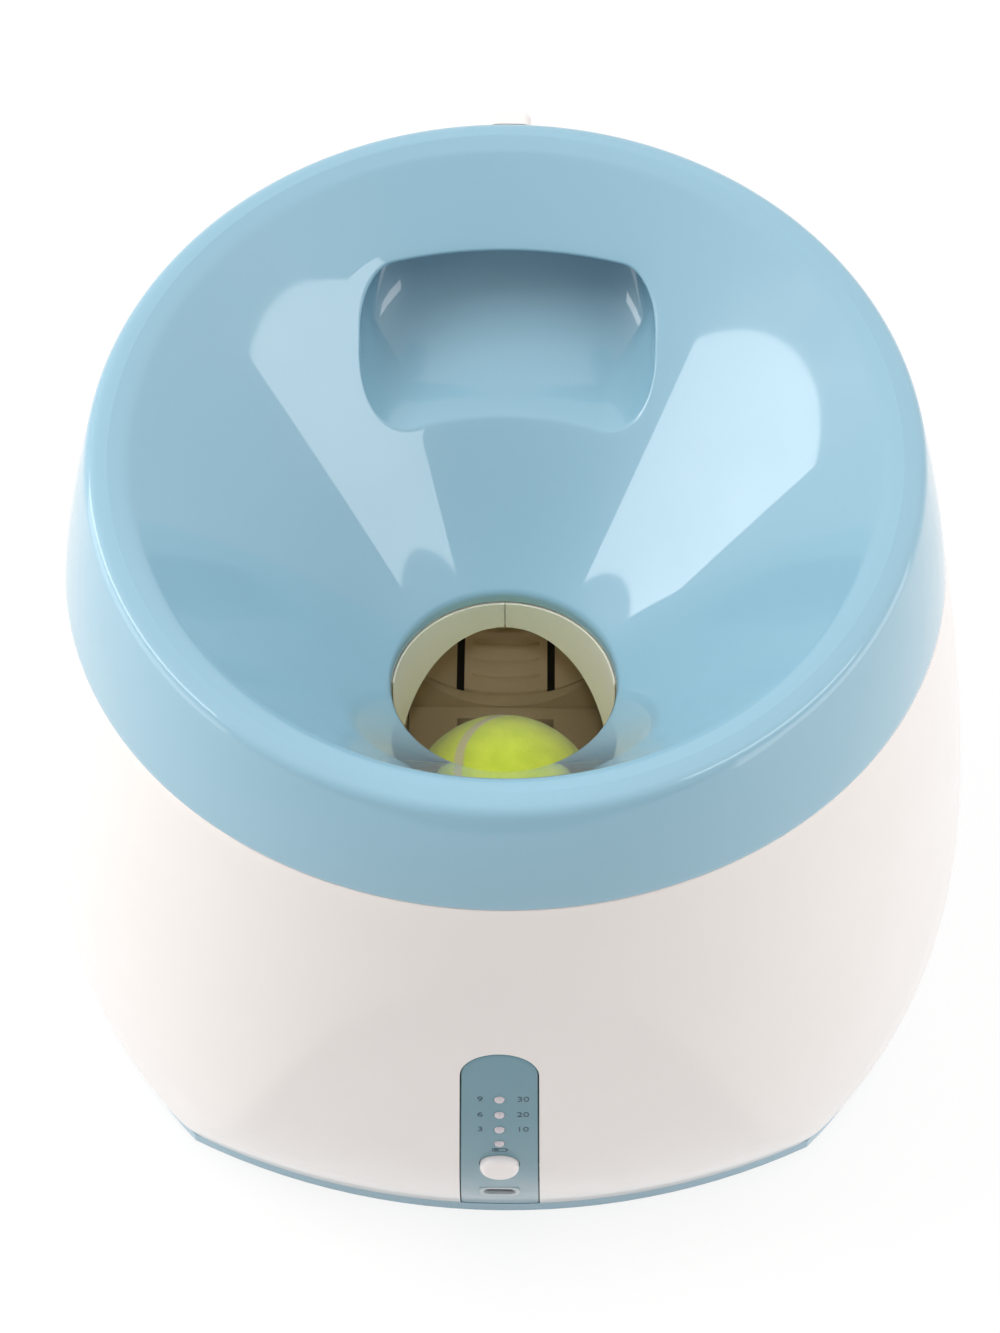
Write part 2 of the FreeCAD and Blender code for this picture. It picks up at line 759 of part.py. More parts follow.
def ball_way(grow):
    """Space the ball uses: round chamber, tunnel and barrel, grown by a wall."""
    floor = inner_floor() if grow else 0.0
    cup = chamber_bar(chamber_radius() + grow, floor, hole_height + (0 if grow else past))
    half = tunnel_half_width + grow
    tunnel = block((-half, hole_y, floor),
                   (half, nip_y + (tunnel_rear if grow else 0.0), tunnel_ceiling + grow))
    front, rear = (barrel_front, barrel_joint) if grow else (barrel_hollow_front, barrel_rear)
    return cup, tunnel, barrel_bar(barrel_radius + grow, front, rear)


def ramp_top(y):
    """Height of the fixed ramp's top at a place along the ramp."""
    slope = radians(ramp_slope)
    return pivot_z + (tongue_crown - ramp_drop) / cos(slope) + (y - pivot_y) * tan(slope)


def ramp_slab(top_drop, thickness):
    """Sloping slab across the whole chamber, its top this far under the ramp's top."""
    wide = 2 * chamber_radius()
    front, rear = hole_y - wide, hole_y + wide
    span = [V(-wide, y, ramp_top(y) - drop) for y, drop in
            ((front, top_drop), (rear, top_drop), (rear, top_drop + thickness),
             (front, top_drop + thickness))]
    return polygon(span).extrude(V(2 * wide, 0, 0))


def ramp_plan(shrink, rear):
    """Outline of the chamber and tunnel seen from above, shrunk by a gap."""
    wide = 2 * chamber_radius()
    cup = chamber_bar(chamber_radius() - shrink, 0, tunnel_ceiling)
    cup = cup.common(block((-wide, hole_y - wide, 0), (wide, hole_y, tunnel_ceiling)))
    half = tunnel_half_width - shrink
    return cup.fuse(block((-half, hole_y - 0.01, 0), (half, rear, tunnel_ceiling)))


def chamber():
    cup, tunnel, barrel = ball_way(chamber_wall)
    hollow = fused(list(ball_way(0.0)))
    shell = fused([cup, tunnel, barrel]).cut(hollow)
    ledge = ramp_plan(0, nip_y - 2 * past).cut(ramp_plan(ledge_depth, nip_y - past))
    ledge = ledge.common(ramp_slab(ramp_skin, ramp_skin))
    clamps = [cylinder(boss_radius, V(-clamp_half, y, z), V(clamp_half, y, z)) for y, z in clamp_points()]
    clamps = fused(clamps).cut(hollow)
    foot_end = chamber_screw_x + chamber_foot_half
    foot_top = inner_floor() + chamber_foot_height
    feet = block((-foot_end, hole_y - chamber_foot_half, inner_floor()),
                 (foot_end, hole_y + chamber_foot_half, foot_top))
    feet = feet.cut(chamber_bar(chamber_radius() + past, 0, foot_top + past))
    shell = fused([shell, ledge, clamps, feet])
    shell = shell.common(fused([body_form(-shell_wall - running_gap),
                                chamber_bar(2 * chamber_radius(), 0, base_top)]))
    for side in (-1, 1):
        centre = wheel_centre(side)
        window = launch_place(cylinder(wheel_radius + wheel_window_gap,
                                       centre.add(V(0, 0, -wheel_half_width - wheel_window_gap)),
                                       centre.add(V(0, 0, wheel_half_width + wheel_window_gap))))
        shell = shell.cut(window)
        place = ball_place()
        shell = shell.cut(cylinder(eye_radius + fit_gap, V(side * ball_radius, place.y, place.z),
                                   V(side * 2 * ball_radius, place.y, place.z)))
        screw_x = side * chamber_screw_x
        shell = shell.cut(cylinder(screw_radius + fit_gap, V(screw_x, hole_y, 0),
                                   V(screw_x, hole_y, foot_bore_top)))
    for y, z in clamp_points():
        shell = shell.cut(cylinder(screw_radius + fit_gap, V(-clamp_half - past, y, z),
                                   V(clamp_half - 2 * past, y, z)))
    return shell


def launch_barrel():
    """Straight barrel behind the wheels, with a socket that takes the chamber's end."""
    outer, begin = barrel_radius + chamber_wall, barrel_joint - collar_lap
    barrel = barrel_bar(outer, barrel_joint + seat_gap, barrel_rear)
    collar = barrel_bar(outer + seat_gap + collar_wall, begin, barrel_joint + collar_rear)
    collar = collar.cut(barrel_bar(outer + seat_gap, begin - past, barrel_joint + seat_gap))
    barrel = barrel.fuse(collar).cut(barrel_bar(barrel_radius, barrel_joint, barrel_rear + past))
    return barrel.common(body_form(-shell_wall - running_gap))


def clamp_points():
    """Front and rear places where the chamber's halves are screwed together."""
    out = chamber_wall + boss_radius - clamp_sink
    slope = radians(launch_slope)
    barrel_top = nip_z + (clamp_rear_y - nip_y) * tan(slope) + barrel_radius / cos(slope)
    return [(hole_y - chamber_radius() - out, z) for z in clamp_heights] + [(clamp_rear_y, barrel_top + out)]


def chamber_half(side):
    low, high = sorted((0, side * belly_radius))
    return chamber().common(block((low, -belly_radius, 0), (high, belly_radius, seam_height)))


def clamp_screws():
    screws = []
    for y, z in clamp_points():
        head = cylinder(screw_head_radius, V(-clamp_half - screw_head_height, y, z), V(-clamp_half, y, z))
        shank = cylinder(screw_radius, V(-clamp_half, y, z), V(clamp_half - 3 * past, y, z))
        screws.append(head.fuse(shank))
    return Part.makeCompound(screws)


def ball_eye(side):
    """Light gate that sees a waiting ball, in the chamber wall."""
    place = ball_place()
    end = V(side * (chamber_radius() + eye_length), place.y, place.z)
    body = cylinder(eye_radius, V(side * (chamber_radius() + eye_inset), place.y, place.z), end)
    seat = side * (chamber_radius() + chamber_wall + eye_flange_gap)
    flange = cylinder(eye_radius + eye_flange, V(seat, place.y, place.z), end)
    return body.fuse(flange)


def on_ramp(shape):
    """Leans a level shape about the tongue's pivot so that it follows the ramp."""
    shape.rotate(V(0, pivot_y, pivot_z), ACROSS, ramp_slope)
    return shape


def ball_place():
    """Centre of the waiting ball: at the front of the hole and just above the ribs."""
    slope = radians(ramp_slope)
    ball_y = hole_y - (hole_radius - ball_radius - running_gap)
    lift = tongue_crown + ball_radius + running_gap
    ball_z = pivot_z + (lift + (ball_y - pivot_y) * sin(slope)) / cos(slope)
    return V(0, ball_y, ball_z)


def ramp_floor():
    floor = ramp_slab(0, ramp_skin).common(ramp_plan(running_gap, nip_y - 0.5))
    slot = block((-slot_half_width, pivot_y - tongue_reach - slot_front_gap, 0),
                 (slot_half_width, pivot_y + slot_rear, tunnel_ceiling))
    floor = floor.cut(slot)
    near, far = slot_half_width + ear_gap, slot_half_width + ear_gap + ear_width
    for side in (-1, 1):
        low, high = sorted((side * near, side * far))
        floor = floor.fuse(block((low, pivot_y - ear_half_length, pivot_z - ear_drop),
                                 (high, pivot_y + ear_half_length, pivot_z + ear_rise)))
    return floor.cut(cylinder(pin_radius, V(-far - past, pivot_y, pivot_z), V(far + past, pivot_y, pivot_z)))


def tongue_pin():
    half = slot_half_width + ear_gap + ear_width
    return cylinder(pin_radius, V(-half, pivot_y, pivot_z), V(half, pivot_y, pivot_z))


def feed_tongue():
    front = pivot_y - tongue_reach
    top = pivot_z + tongue_crown
    half = tongue_half_width
    skin_top = top - rib_height
    plate = block((-half, front, skin_top - tongue_skin), (half, pivot_y, skin_top))
    ribs = []
    for index in range(rib_count):
        start = front + rib_start + index * rib_pitch
        ribs.append(block((-half + rail_width, start, skin_top - rib_sink),
                          (half - rail_width, start + rib_width, top)))
    rails = []
    for side in (-1, 1):
        low, high = sorted((side * half, side * (half - rail_width)))
        rails.append(block((low, front, skin_top - rib_sink), (high, pivot_y, skin_top + rail_height)))
        low, high = sorted((side * half, side * (half - tongue_edge)))
        rails.append(block((low, front + tongue_edge, pivot_z - tongue_edge_drop),
                           (high, pivot_y, skin_top)))
    eye = cylinder(tongue_crown - eye_clearance, V(-half, pivot_y, pivot_z), V(half, pivot_y, pivot_z))
    tongue = fused([plate, eye] + ribs + rails)
    tongue = tongue.cut(cylinder(pin_radius + fit_gap, V(-half - past, pivot_y, pivot_z),
                                 V(half + past, pivot_y, pivot_z)))
    return on_ramp(tongue)


def tongue_underside():
    """Height of the tongue's flat underside above its pivot, in the tongue's own axes."""
    return tongue_crown - rib_height - tongue_skin


def roller_place():
    """Centre of the lever's roller, just under the tongue at rest."""
    slope = radians(ramp_slope)
    y = lever_pivot_y - lever_length
    z = pivot_z + (tongue_underside() - roller_radius - roller_gap) / cos(slope) + (y - pivot_y) * tan(slope)
    return V(0, y, z)


def lift_lever():
    tip = roller_place()
    hub = V(0, lever_pivot_y, tip.z)
    inner, outer = roller_half_width + cheek_gap, lever_half_width()
    high_side, low_side = tip.z + lever_half_height, tip.z - lever_half_height
    shapes = []
    for side in (-1, 1):
        low, high = sorted((side * inner, side * outer))
        shapes.append(cylinder(lever_tip_radius, V(low, tip.y, tip.z), V(high, tip.y, tip.z)))
        shapes.append(block((low, tip.y, low_side), (high, hub.y, high_side)))
    shapes.append(cylinder(lever_hub_radius, V(-outer, hub.y, hub.z), V(outer, hub.y, hub.z)))
    shapes.append(block((-outer, hub.y - lever_tail, low_side), (outer, hub.y, high_side)))
    lever = fused(shapes)
    end = outer + past
    lever = lever.cut(cylinder(lever_shaft_radius, V(-end, hub.y, hub.z), V(end, hub.y, hub.z)))
    return lever.cut(cylinder(roller_pin_radius, V(-end, tip.y, tip.z), V(end, tip.y, tip.z)))


def lever_half_width():
    return roller_half_width + cheek_gap + lever_cheek


def lever_shaft():
    z = roller_place().z
    return cylinder(lever_shaft_radius, V(-gearbox_inner_x - shaft_seat, lever_pivot_y, z),
                    V(lever_half_width(), lever_pivot_y, z))


def roller_pin():
    tip = roller_place()
    half = lever_half_width()
    return cylinder(roller_pin_radius, V(-half, tip.y, tip.z), V(half, tip.y, tip.z))


def lever_roller():
    tip = roller_place()
    return tube(roller_radius, roller_pin_radius + fit_gap, V(-roller_half_width, tip.y, tip.z),
                V(roller_half_width, tip.y, tip.z))


def lift_gearmotor():
    z = roller_place().z
    outer_x = gearbox_inner_x + gearbox_width
    rear = lever_pivot_y + gearbox_half_length
    gearbox = block((-outer_x, lever_pivot_y - gearbox_half_length, z - gearbox_drop),
                    (-gearbox_inner_x, rear, z + gearbox_rise))
    middle = -(outer_x + gearbox_inner_x) / 2
    motor = cylinder(gearbox_width / 2, V(middle, rear, z - gearmotor_drop),
                     V(middle, pivot_y, z - gearmotor_drop))
    bore = cylinder(lever_shaft_radius + fit_gap, V(-gearbox_inner_x - gearbox_bore, lever_pivot_y, z),
                    V(0, lever_pivot_y, z))
    return gearbox.fuse(motor).cut(bore)


def gearmotor_bracket():
    z = roller_place().z - gearbox_drop
    outer_x = gearbox_inner_x + gearbox_width
    front, rear = lever_pivot_y - gearbox_half_length, lever_pivot_y + gearbox_half_length
    top = block((-outer_x, front, z - stand_skin), (-gearbox_inner_x, rear, z))
    legs = [block((-outer_x, y, inner_floor()), (-gearbox_inner_x, y + stand_leg, z))
            for y in (front, rear - stand_leg)]
    return fused([top] + legs)


def flywheel_hub(side):
    centre = wheel_centre(side)
    rim_outer = wheel_radius - tyre_thickness
    half = wheel_half_width
    rim = tube(rim_outer, rim_outer - hub_rim, V(0, 0, -half), V(0, 0, half))
    disc = cylinder(rim_outer - hub_rim / 2, V(0, 0, -hub_disc_half), V(0, 0, hub_disc_half))
    boss = cylinder(hub_boss_radius, V(0, 0, -half), V(0, 0, half - hub_boss_inset))
    hub = fused([rim, disc, boss])
    for index in range(hub_holes):
        angle = 360 / hub_holes * index
        hub = hub.cut(cylinder(hub_hole_radius, polar(hub_hole_circle, angle, -hub_disc_half - past),
                               polar(hub_hole_circle, angle, hub_disc_half + past)))
    hub = hub.cut(cylinder(motor_shaft_radius, V(0, 0, -half - past), V(0, 0, half)))
    hub.translate(centre)
    return launch_place(hub)


def flywheel_tyre(side):
    half = wheel_half_width
    tyre = tube(wheel_radius, wheel_radius - tyre_thickness, V(0, 0, -half), V(0, 0, half))
    crown = [edge for edge in tyre.Edges if abs(edge.BoundBox.XLength - 2 * wheel_radius) < 0.1]
    tyre = tyre.makeChamfer(tyre_chamfer, crown)
    tyre.translate(wheel_centre(side))
    return launch_place(tyre)


def motor_plate_top():
    return -wheel_half_width - mount_gap


def motor_shaft(side):
    bottom = motor_plate_top() - mount_skin - motor_shaft_seat
    shaft = cylinder(motor_shaft_radius, V(0, 0, bottom), V(0, 0, wheel_half_width - hub_boss_inset))
    shaft.translate(wheel_centre(side))
    return launch_place(shaft)


def flywheel_motor(side):
    top = motor_plate_top() - mount_skin
    can = cylinder(motor_radius, V(0, 0, top - motor_length), V(0, 0, top))
    can = can.fuse(cylinder(motor_nose_radius, V(0, 0, top), V(0, 0, top + motor_nose)))
    tail = cylinder(motor_tail_radius, V(0, 0, top - motor_length - motor_tail), V(0, 0, top - motor_length))
    can = can.fuse(tail)
    can = can.cut(cylinder(motor_shaft_radius + fit_gap, V(0, 0, top - motor_bore),
                           V(0, 0, top + motor_nose + past)))
    for x in (-motor_screw_x, motor_screw_x):
        can = can.cut(cylinder(screw_radius + fit_gap, V(x, 0, top - motor_screw_reach - past),
                               V(x, 0, top + past)))
    can.translate(wheel_centre(side))
    return launch_place(can)


def motor_bracket(side):
    top = motor_plate_top()
    centre = wheel_centre(side)
    inner = tunnel_half_width + chamber_wall + plate_gap
    low, high = sorted((side * inner, side * bracket_web_x))
    plate = block((low, -plate_half_length, top - mount_skin), (high, plate_half_length, top))
    under = top - mount_skin - past
    plate = plate.cut(cylinder(motor_nose_radius + nose_gap, centre.add(V(0, 0, under)),
                               centre.add(V(0, 0, top + past))))
    for x in (-motor_screw_x, motor_screw_x):
        spot = centre.add(V(x, 0, 0))
        plate = plate.cut(cylinder(screw_radius + fit_gap, spot.add(V(0, 0, under)),
                                   spot.add(V(0, 0, top + past))))
    plate = launch_place(plate)
    floor = inner_floor()
    front, front_z = launch_yz(-plate_half_length, top)
    rear, rear_z = launch_yz(plate_half_length, top)
    web = polygon([V(side * bracket_web_x, front, floor), V(side * bracket_web_x, rear, floor),
                   V(side * bracket_web_x, rear, rear_z), V(side * bracket_web_x, front, front_z)])
    web = web.extrude(V(-side * mount_skin, 0, 0))
    low, high = sorted((side * bracket_web_x, side * (bracket_web_x + bracket_foot_width)))
    foot = block((low, front, floor), (high, rear, floor + bracket_foot_height))
    bracket = fused([plate, web, foot])
    for y in bracket_screw_y:
        bracket = bracket.cut(cylinder(screw_radius + fit_gap, V(side * bracket_screw_x, y, 0),
                                       V(side * bracket_screw_x, y, foot_bore_top)))
    return bracket


def launch_yz(y, z):
    slope = radians(launch_slope)
    return (nip_y + y * cos(slope) - z * sin(slope), nip_z + y * sin(slope) + z * cos(slope))


def motor_screws():
    top = motor_plate_top()
    screws = []
    for side in (-1, 1):
        for x in (-motor_screw_x, motor_screw_x):
            spot = wheel_centre(side).add(V(x, 0, 0))
            head = cylinder(screw_head_radius - motor_head_trim, spot.add(V(0, 0, top)),
                            spot.add(V(0, 0, top + motor_screw_head)))
            shank = cylinder(screw_radius, spot.add(V(0, 0, top - mount_skin - motor_screw_reach)),
                             spot.add(V(0, 0, top)))
            screws.append(launch_place(head.fuse(shank)))
    return Part.makeCompound(screws)


def battery_cells():
    floor = inner_floor() + tray_skin
    pitch = 2 * cell_radius + cell_gap
    cells = []
    for index in range(cell_count):
        x = (index - (cell_count - 1) / 2) * pitch
        start = V(x, battery_rear_y - cell_length, floor + cell_radius)
        cells.append(cylinder(cell_radius, start, V(x, battery_rear_y, floor + cell_radius)))
    return Part.makeCompound(cells)


def pack_half_width():
    return cell_count * (2 * cell_radius + cell_gap) / 2 + cell_gap


def battery_tray():
    floor, top = inner_floor(), inner_floor() + tray_height
    half = pack_half_width()
    front, rear = battery_rear_y - cell_length - cell_gap, battery_rear_y + cell_gap
    outside = block((-half - tray_skin, front - tray_skin, floor), (half + tray_skin, rear + tray_skin, top))
    return outside.cut(block((-half, front, floor + tray_skin), (half, rear, top + past)))


def battery_strap():
    floor = inner_floor()
    inner = pack_half_width() + tray_skin
    top = floor + tray_skin + 2 * cell_radius
    middle = battery_rear_y - cell_length / 2
    front, rear = middle - strap_half_length, middle + strap_half_length
    bar = block((-inner - tray_skin, front, floor), (inner + tray_skin, rear, top + tray_skin))
    return bar.cut(block((-inner, front - past, floor - past), (inner, rear + past, top)))


def tennis_ball():
    return Part.makeSphere(ball_radius, ball_place())


def main():
    os.makedirs("parts", exist_ok=True)
    save("outer_body", outer_body())
    save("funnel_cap", funnel_cap())
    save("base_plate", base_plate())
    save("rubber_feet", rubber_feet())
    save("control_panel", control_panel())
    save("indicator_lights", indicator_lights())
    save("power_button", power_button())
    save("switch_plunger", switch_plunger())
    save("button_switch", button_switch())
    save("charge_port", charge_port())
    save("charge_socket", charge_socket())
    save("control_board", control_board())
    save("board_screws", board_screws())
    save("outlet_bezel", outlet_bezel())
    save("sensor_pod", sensor_pod())
    save("sensor_lens", sensor_lens())
    save("launch_barrel", launch_barrel())
    save("ramp_floor", ramp_floor())
    save("feed_tongue", feed_tongue())
    save("tongue_pin", tongue_pin())
    save("lift_lever", lift_lever())
    save("lever_shaft", lever_shaft())
    save("lever_roller", lever_roller())
    save("roller_pin", roller_pin())
    save("lift_gearmotor", lift_gearmotor())
    save("gearmotor_bracket", gearmotor_bracket())
    save("battery_cells", battery_cells())
    save("battery_tray", battery_tray())
    save("battery_strap", battery_strap())
    save("motor_screws", motor_screws())
    save("clamp_screws", clamp_screws())
    save("base_screws", screws_at(base_points(), base_screw_reach))
    save("bracket_screws", screws_at(bracket_points(), foot_screw_reach))
    save("chamber_screws", screws_at(chamber_points(), foot_screw_reach))
    save("top_screws", top_screws())
    save("tennis_ball", tennis_ball())
    for side, word in ((-1, "left"), (1, "right")):
        save("chamber_" + word, chamber_half(side))
        save("ball_eye_" + word, ball_eye(side))
        save("flywheel_hub_" + word, flywheel_hub(side))
        save("flywheel_tyre_" + word, flywheel_tyre(side))
        save("motor_shaft_" + word, motor_shaft(side))
        save("flywheel_motor_" + word, flywheel_motor(side))
        save("motor_bracket_" + word, motor_bracket(side))


main()
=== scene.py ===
from math import cos, pi, radians, sin, sqrt
import bmesh
import bpy
import numpy as np
from mathutils import Euler, Matrix, Vector


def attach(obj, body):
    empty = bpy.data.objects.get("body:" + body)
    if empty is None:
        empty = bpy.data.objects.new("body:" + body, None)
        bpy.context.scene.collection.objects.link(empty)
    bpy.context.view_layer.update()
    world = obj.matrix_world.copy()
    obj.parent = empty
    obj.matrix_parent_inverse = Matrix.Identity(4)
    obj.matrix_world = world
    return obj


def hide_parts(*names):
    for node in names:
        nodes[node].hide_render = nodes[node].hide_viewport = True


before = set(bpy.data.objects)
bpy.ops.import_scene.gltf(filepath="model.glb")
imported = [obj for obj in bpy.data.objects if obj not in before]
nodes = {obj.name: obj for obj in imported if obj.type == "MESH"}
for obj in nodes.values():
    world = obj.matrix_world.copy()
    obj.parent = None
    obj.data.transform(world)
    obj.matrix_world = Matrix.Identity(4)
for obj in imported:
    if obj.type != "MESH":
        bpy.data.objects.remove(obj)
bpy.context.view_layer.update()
mm = 0.001


def place(name, mesh, material, body="housing", replaced=(), sharp=40):
    piece = bpy.data.objects.new(name, mesh)
    bpy.context.scene.collection.objects.link(piece)
    mesh.materials.clear()
    mesh.materials.append(material)
    mesh.polygons.foreach_set("use_smooth", [True] * len(mesh.polygons))
    if sharp:
        mesh.set_sharp_from_angle(angle=radians(sharp))
    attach(piece, body)
    if replaced:
        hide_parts(*replaced)
    return piece


def toMesh(name, bm):
    bmesh.ops.remove_doubles(bm, verts=bm.verts, dist=0.0005)
    bmesh.ops.recalc_face_normals(bm, faces=bm.faces)
    bmesh.ops.scale(bm, vec=(mm, mm, mm), verts=bm.verts)
    mesh = bpy.data.meshes.new(name)
    bm.to_mesh(mesh)
    bm.free()
    return mesh


def pointsOf(mesh, unitLength=mm):
    co = np.zeros(len(mesh.vertices) * 3, np.float32)
    mesh.vertices.foreach_get("co", co)
    return co.reshape(-1, 3).astype(float) / unitLength


def movePoints(mesh, co):
    mesh.vertices.foreach_set("co", (co * mm).ravel())
    mesh.update()


def carve(mesh, cutters, operation="DIFFERENCE"):  # cuts closed shapes out of a mesh
    block = bpy.data.objects.new(mesh.name + "Block", mesh)
    bpy.context.scene.collection.objects.link(block)
    tools = []
    for cutter in cutters:
        tool = bpy.data.objects.new(cutter.name, cutter)
        bpy.context.scene.collection.objects.link(tool)
        cut = block.modifiers.new("cut", "BOOLEAN")
        cut.object, cut.operation, cut.solver = tool, operation, "EXACT"
        tools.append(tool)
    bpy.context.view_layer.update()
    result = bpy.data.meshes.new_from_object(block.evaluated_get(bpy.context.evaluated_depsgraph_get()))
    for thing in tools + [block]:
        bpy.data.objects.remove(thing)
    return result


def startLoop(bm, points, closed=True):
    if closed:
        made = bmesh.ops.create_circle(bm, cap_ends=False, radius=1, segments=len(points))["verts"]
        made.sort(key=lambda v: v.index)
    else:
        made = [bm.verts.new((0, 0, 0)) for _ in points]
        for first, second in zip(made, made[1:]):
            bm.edges.new((first, second))
    for vert, point in zip(made, points):
        vert.co = point
    return made


def openEdges(loop):
    members = set(loop)
    return {edge for vert in loop for edge in vert.link_edges
            if edge.other_vert(vert) in members and len(edge.link_faces) < 2}


def growLoop(bm, loop, points):  # extrudes a loop of edges onto new points
    made = bmesh.ops.extrude_edge_only(bm, edges=list(openEdges(loop)))["geom"]
    fresh = {part for part in made if isinstance(part, bmesh.types.BMVert)}
    grown = []
    for vert, point in zip(loop, points):
        twin = next(edge.other_vert(vert) for edge in vert.link_edges if edge.other_vert(vert) in fresh)
        twin.co = point
        grown.append(twin)
    return grown


def growLoops(bm, loop, rings):
    for ring in rings:
        loop = growLoop(bm, loop, ring)
    return loop


def fillLoop(bm, loop):
    bmesh.ops.contextual_create(bm, geom=list(openEdges(loop)))


def sweptSolid(bm, rings):  # closed at both ends
    loop = startLoop(bm, rings[0])
    fillLoop(bm, loop)
    fillLoop(bm, growLoops(bm, loop, rings[1:]))


# (radius, height) points turned about an axis
def turned(profile, segments, centre=(0, 0, 0), axis=(0, 0, 1)):
    bm = bmesh.new()
    loop = startLoop(bm, [(radius, 0, height) for radius, height in profile], closed=False)
    bmesh.ops.spin(bm, geom=loop + list(bm.edges), cent=(0, 0, 0), axis=(0, 0, 1), angle=2 * pi,
                   steps=segments, use_merge=True, use_duplicate=False)
    bmesh.ops.remove_doubles(bm, verts=bm.verts, dist=0.0005)
    turn = Vector((0, 0, 1)).rotation_difference(Vector(axis)).to_matrix().to_4x4()
    bmesh.ops.transform(bm, matrix=Matrix.Translation(centre) @ turn, verts=bm.verts)
    return bm


def smoothCurve(points):  # reach by height along a smooth curve through (reach, height) points
    p = np.array(points, float)
    t = np.concatenate(([0], np.cumsum(np.hypot(*np.diff(p, axis=0).T))))
    h = np.diff(t)
    size = len(p)
    grid, right = np.zeros((size, size)), np.zeros((size, 2))
    for i in range(1, size - 1):
        grid[i, i - 1:i + 2] = h[i - 1], 2 * (h[i - 1] + h[i]), h[i]
        right[i] = 6 * ((p[i + 1] - p[i]) / h[i] - (p[i] - p[i - 1]) / h[i - 1])
    grid[0, :3] = h[1], -(h[0] + h[1]), h[0]
    grid[-1, -3:] = h[-1], -(h[-2] + h[-1]), h[-2]
    bend = np.linalg.solve(grid, right)
    u = np.linspace(0, t[-1], 1200)
    i = np.clip(np.searchsorted(t, u) - 1, 0, size - 2)
    a, b, w = (t[i + 1] - u)[:, None], (u - t[i])[:, None], h[i][:, None]
    q = ((bend[i] * a ** 3 + bend[i + 1] * b ** 3) / (6 * w) + (p[i] / w - bend[i] * w / 6) * a
         + (p[i + 1] / w - bend[i + 1] * w / 6) * b)
    return lambda height: np.interp(height, q[:, 1], q[:, 0])


def unit(v):
    return v / np.linalg.norm(v, axis=-1, keepdims=True)


# rings of points on the arc that rounds a corner between two directions
def roundCorner(corner, first, second, radius, steps):
    first, second = unit(first), unit(second)
    turn = np.arccos(np.clip((first * second).sum(-1), -1, 1))[:, None]
    reach = radius / np.tan(turn / 2)
    centre = corner + unit(first + second) * radius / np.sin(turn / 2)
    start, end = corner + first * reach - centre, corner + second * reach - centre
    sweep = pi - turn
    rings = []
    for k in range(steps + 1):
        share = k / steps
        point = start * np.sin((1 - share) * sweep) + end * np.sin(share * sweep)
        rings.append(centre + point / np.sin(sweep))
    return rings


# materials

def socket(group, name, kind, way, value=None):
    made = group.interface.new_socket(name, in_out=way, socket_type=kind)
    if value is not None:
        made.default_value = value
    return made


def link(tree, start, end):
    tree.links.new(start, end)


def mouldedGroup():  # fine surface of moulded plastic: grain height, uneven colour and uneven gloss
    group = bpy.data.node_groups.new("mouldedSurface", "ShaderNodeTree")
    for name, kind, value in (("Color", "NodeSocketColor", (0.8, 0.8, 0.8, 1)),
                              ("Roughness", "NodeSocketFloat", 0.2),
                              ("Grain Scale", "NodeSocketFloat", 900.0),
                              ("Unevenness", "NodeSocketFloat", 0.03)):
        socket(group, name, kind, "INPUT", value)
    for name, kind in (("Color", "NodeSocketColor"), ("Roughness", "NodeSocketFloat"),
                       ("Height", "NodeSocketFloat")):
        socket(group, name, kind, "OUTPUT")
    new = group.nodes.new
    enter, leave = new("NodeGroupInput"), new("NodeGroupOutput")
    where = new("ShaderNodeTexCoord")
    cloud, grain, smear = new("ShaderNodeTexNoise"), new("ShaderNodeTexNoise"), new("ShaderNodeTexNoise")
    cloud.inputs["Scale"].default_value, cloud.inputs["Detail"].default_value = 14, 3
    smear.inputs["Scale"].default_value, smear.inputs["Detail"].default_value = 45, 5
    grain.inputs["Detail"].default_value = 3
    for texture in (cloud, grain, smear):
        link(group, where.outputs["Object"], texture.inputs["Vector"])
    link(group, enter.outputs["Grain Scale"], grain.inputs["Scale"])
    spread = new("ShaderNodeMapRange")
    spread.inputs["From Min"].default_value, spread.inputs["From Max"].default_value = 0.3, 0.7
    spread.inputs["To Min"].default_value, spread.inputs["To Max"].default_value = -1, 1
    link(group, cloud.outputs["Fac"], spread.inputs["Value"])
    change = new("ShaderNodeMath"); change.operation = "MULTIPLY"
    link(group, spread.outputs[0], change.inputs[0])
    link(group, enter.outputs["Unevenness"], change.inputs[1])
    level = new("ShaderNodeMath"); level.operation = "ADD"; level.inputs[1].default_value = 1
    link(group, change.outputs[0], level.inputs[0])
    tint = new("ShaderNodeVectorMath"); tint.operation = "SCALE"
    link(group, enter.outputs["Color"], tint.inputs[0])
    link(group, level.outputs[0], tint.inputs["Scale"])
    link(group, tint.outputs[0], leave.inputs["Color"])
    rub = new("ShaderNodeMapRange")
    rub.inputs["From Min"].default_value, rub.inputs["From Max"].default_value = 0.35, 0.75
    rub.inputs["To Min"].default_value, rub.inputs["To Max"].default_value = 0.9, 1.25
    link(group, smear.outputs["Fac"], rub.inputs["Value"])
    gloss = new("ShaderNodeMath"); gloss.operation = "MULTIPLY"
    link(group, rub.outputs[0], gloss.inputs[0])
    link(group, enter.outputs["Roughness"], gloss.inputs[1])
    link(group, gloss.outputs[0], leave.inputs["Roughness"])
    link(group, grain.outputs["Fac"], leave.inputs["Height"])
    return group


moulded = mouldedGroup()


def rgba(colour):  # screen colour, 0 to 255, as light
    return tuple((c / 255 / 12.92 if c < 11 else ((c / 255 + 0.055) / 1.055) ** 2.4) for c in colour) + (1,)


def shader(name):
    material = bpy.data.materials.new(name)
    material.use_nodes = True
    tree = material.node_tree
    return material, tree, tree.nodes["Principled BSDF"]


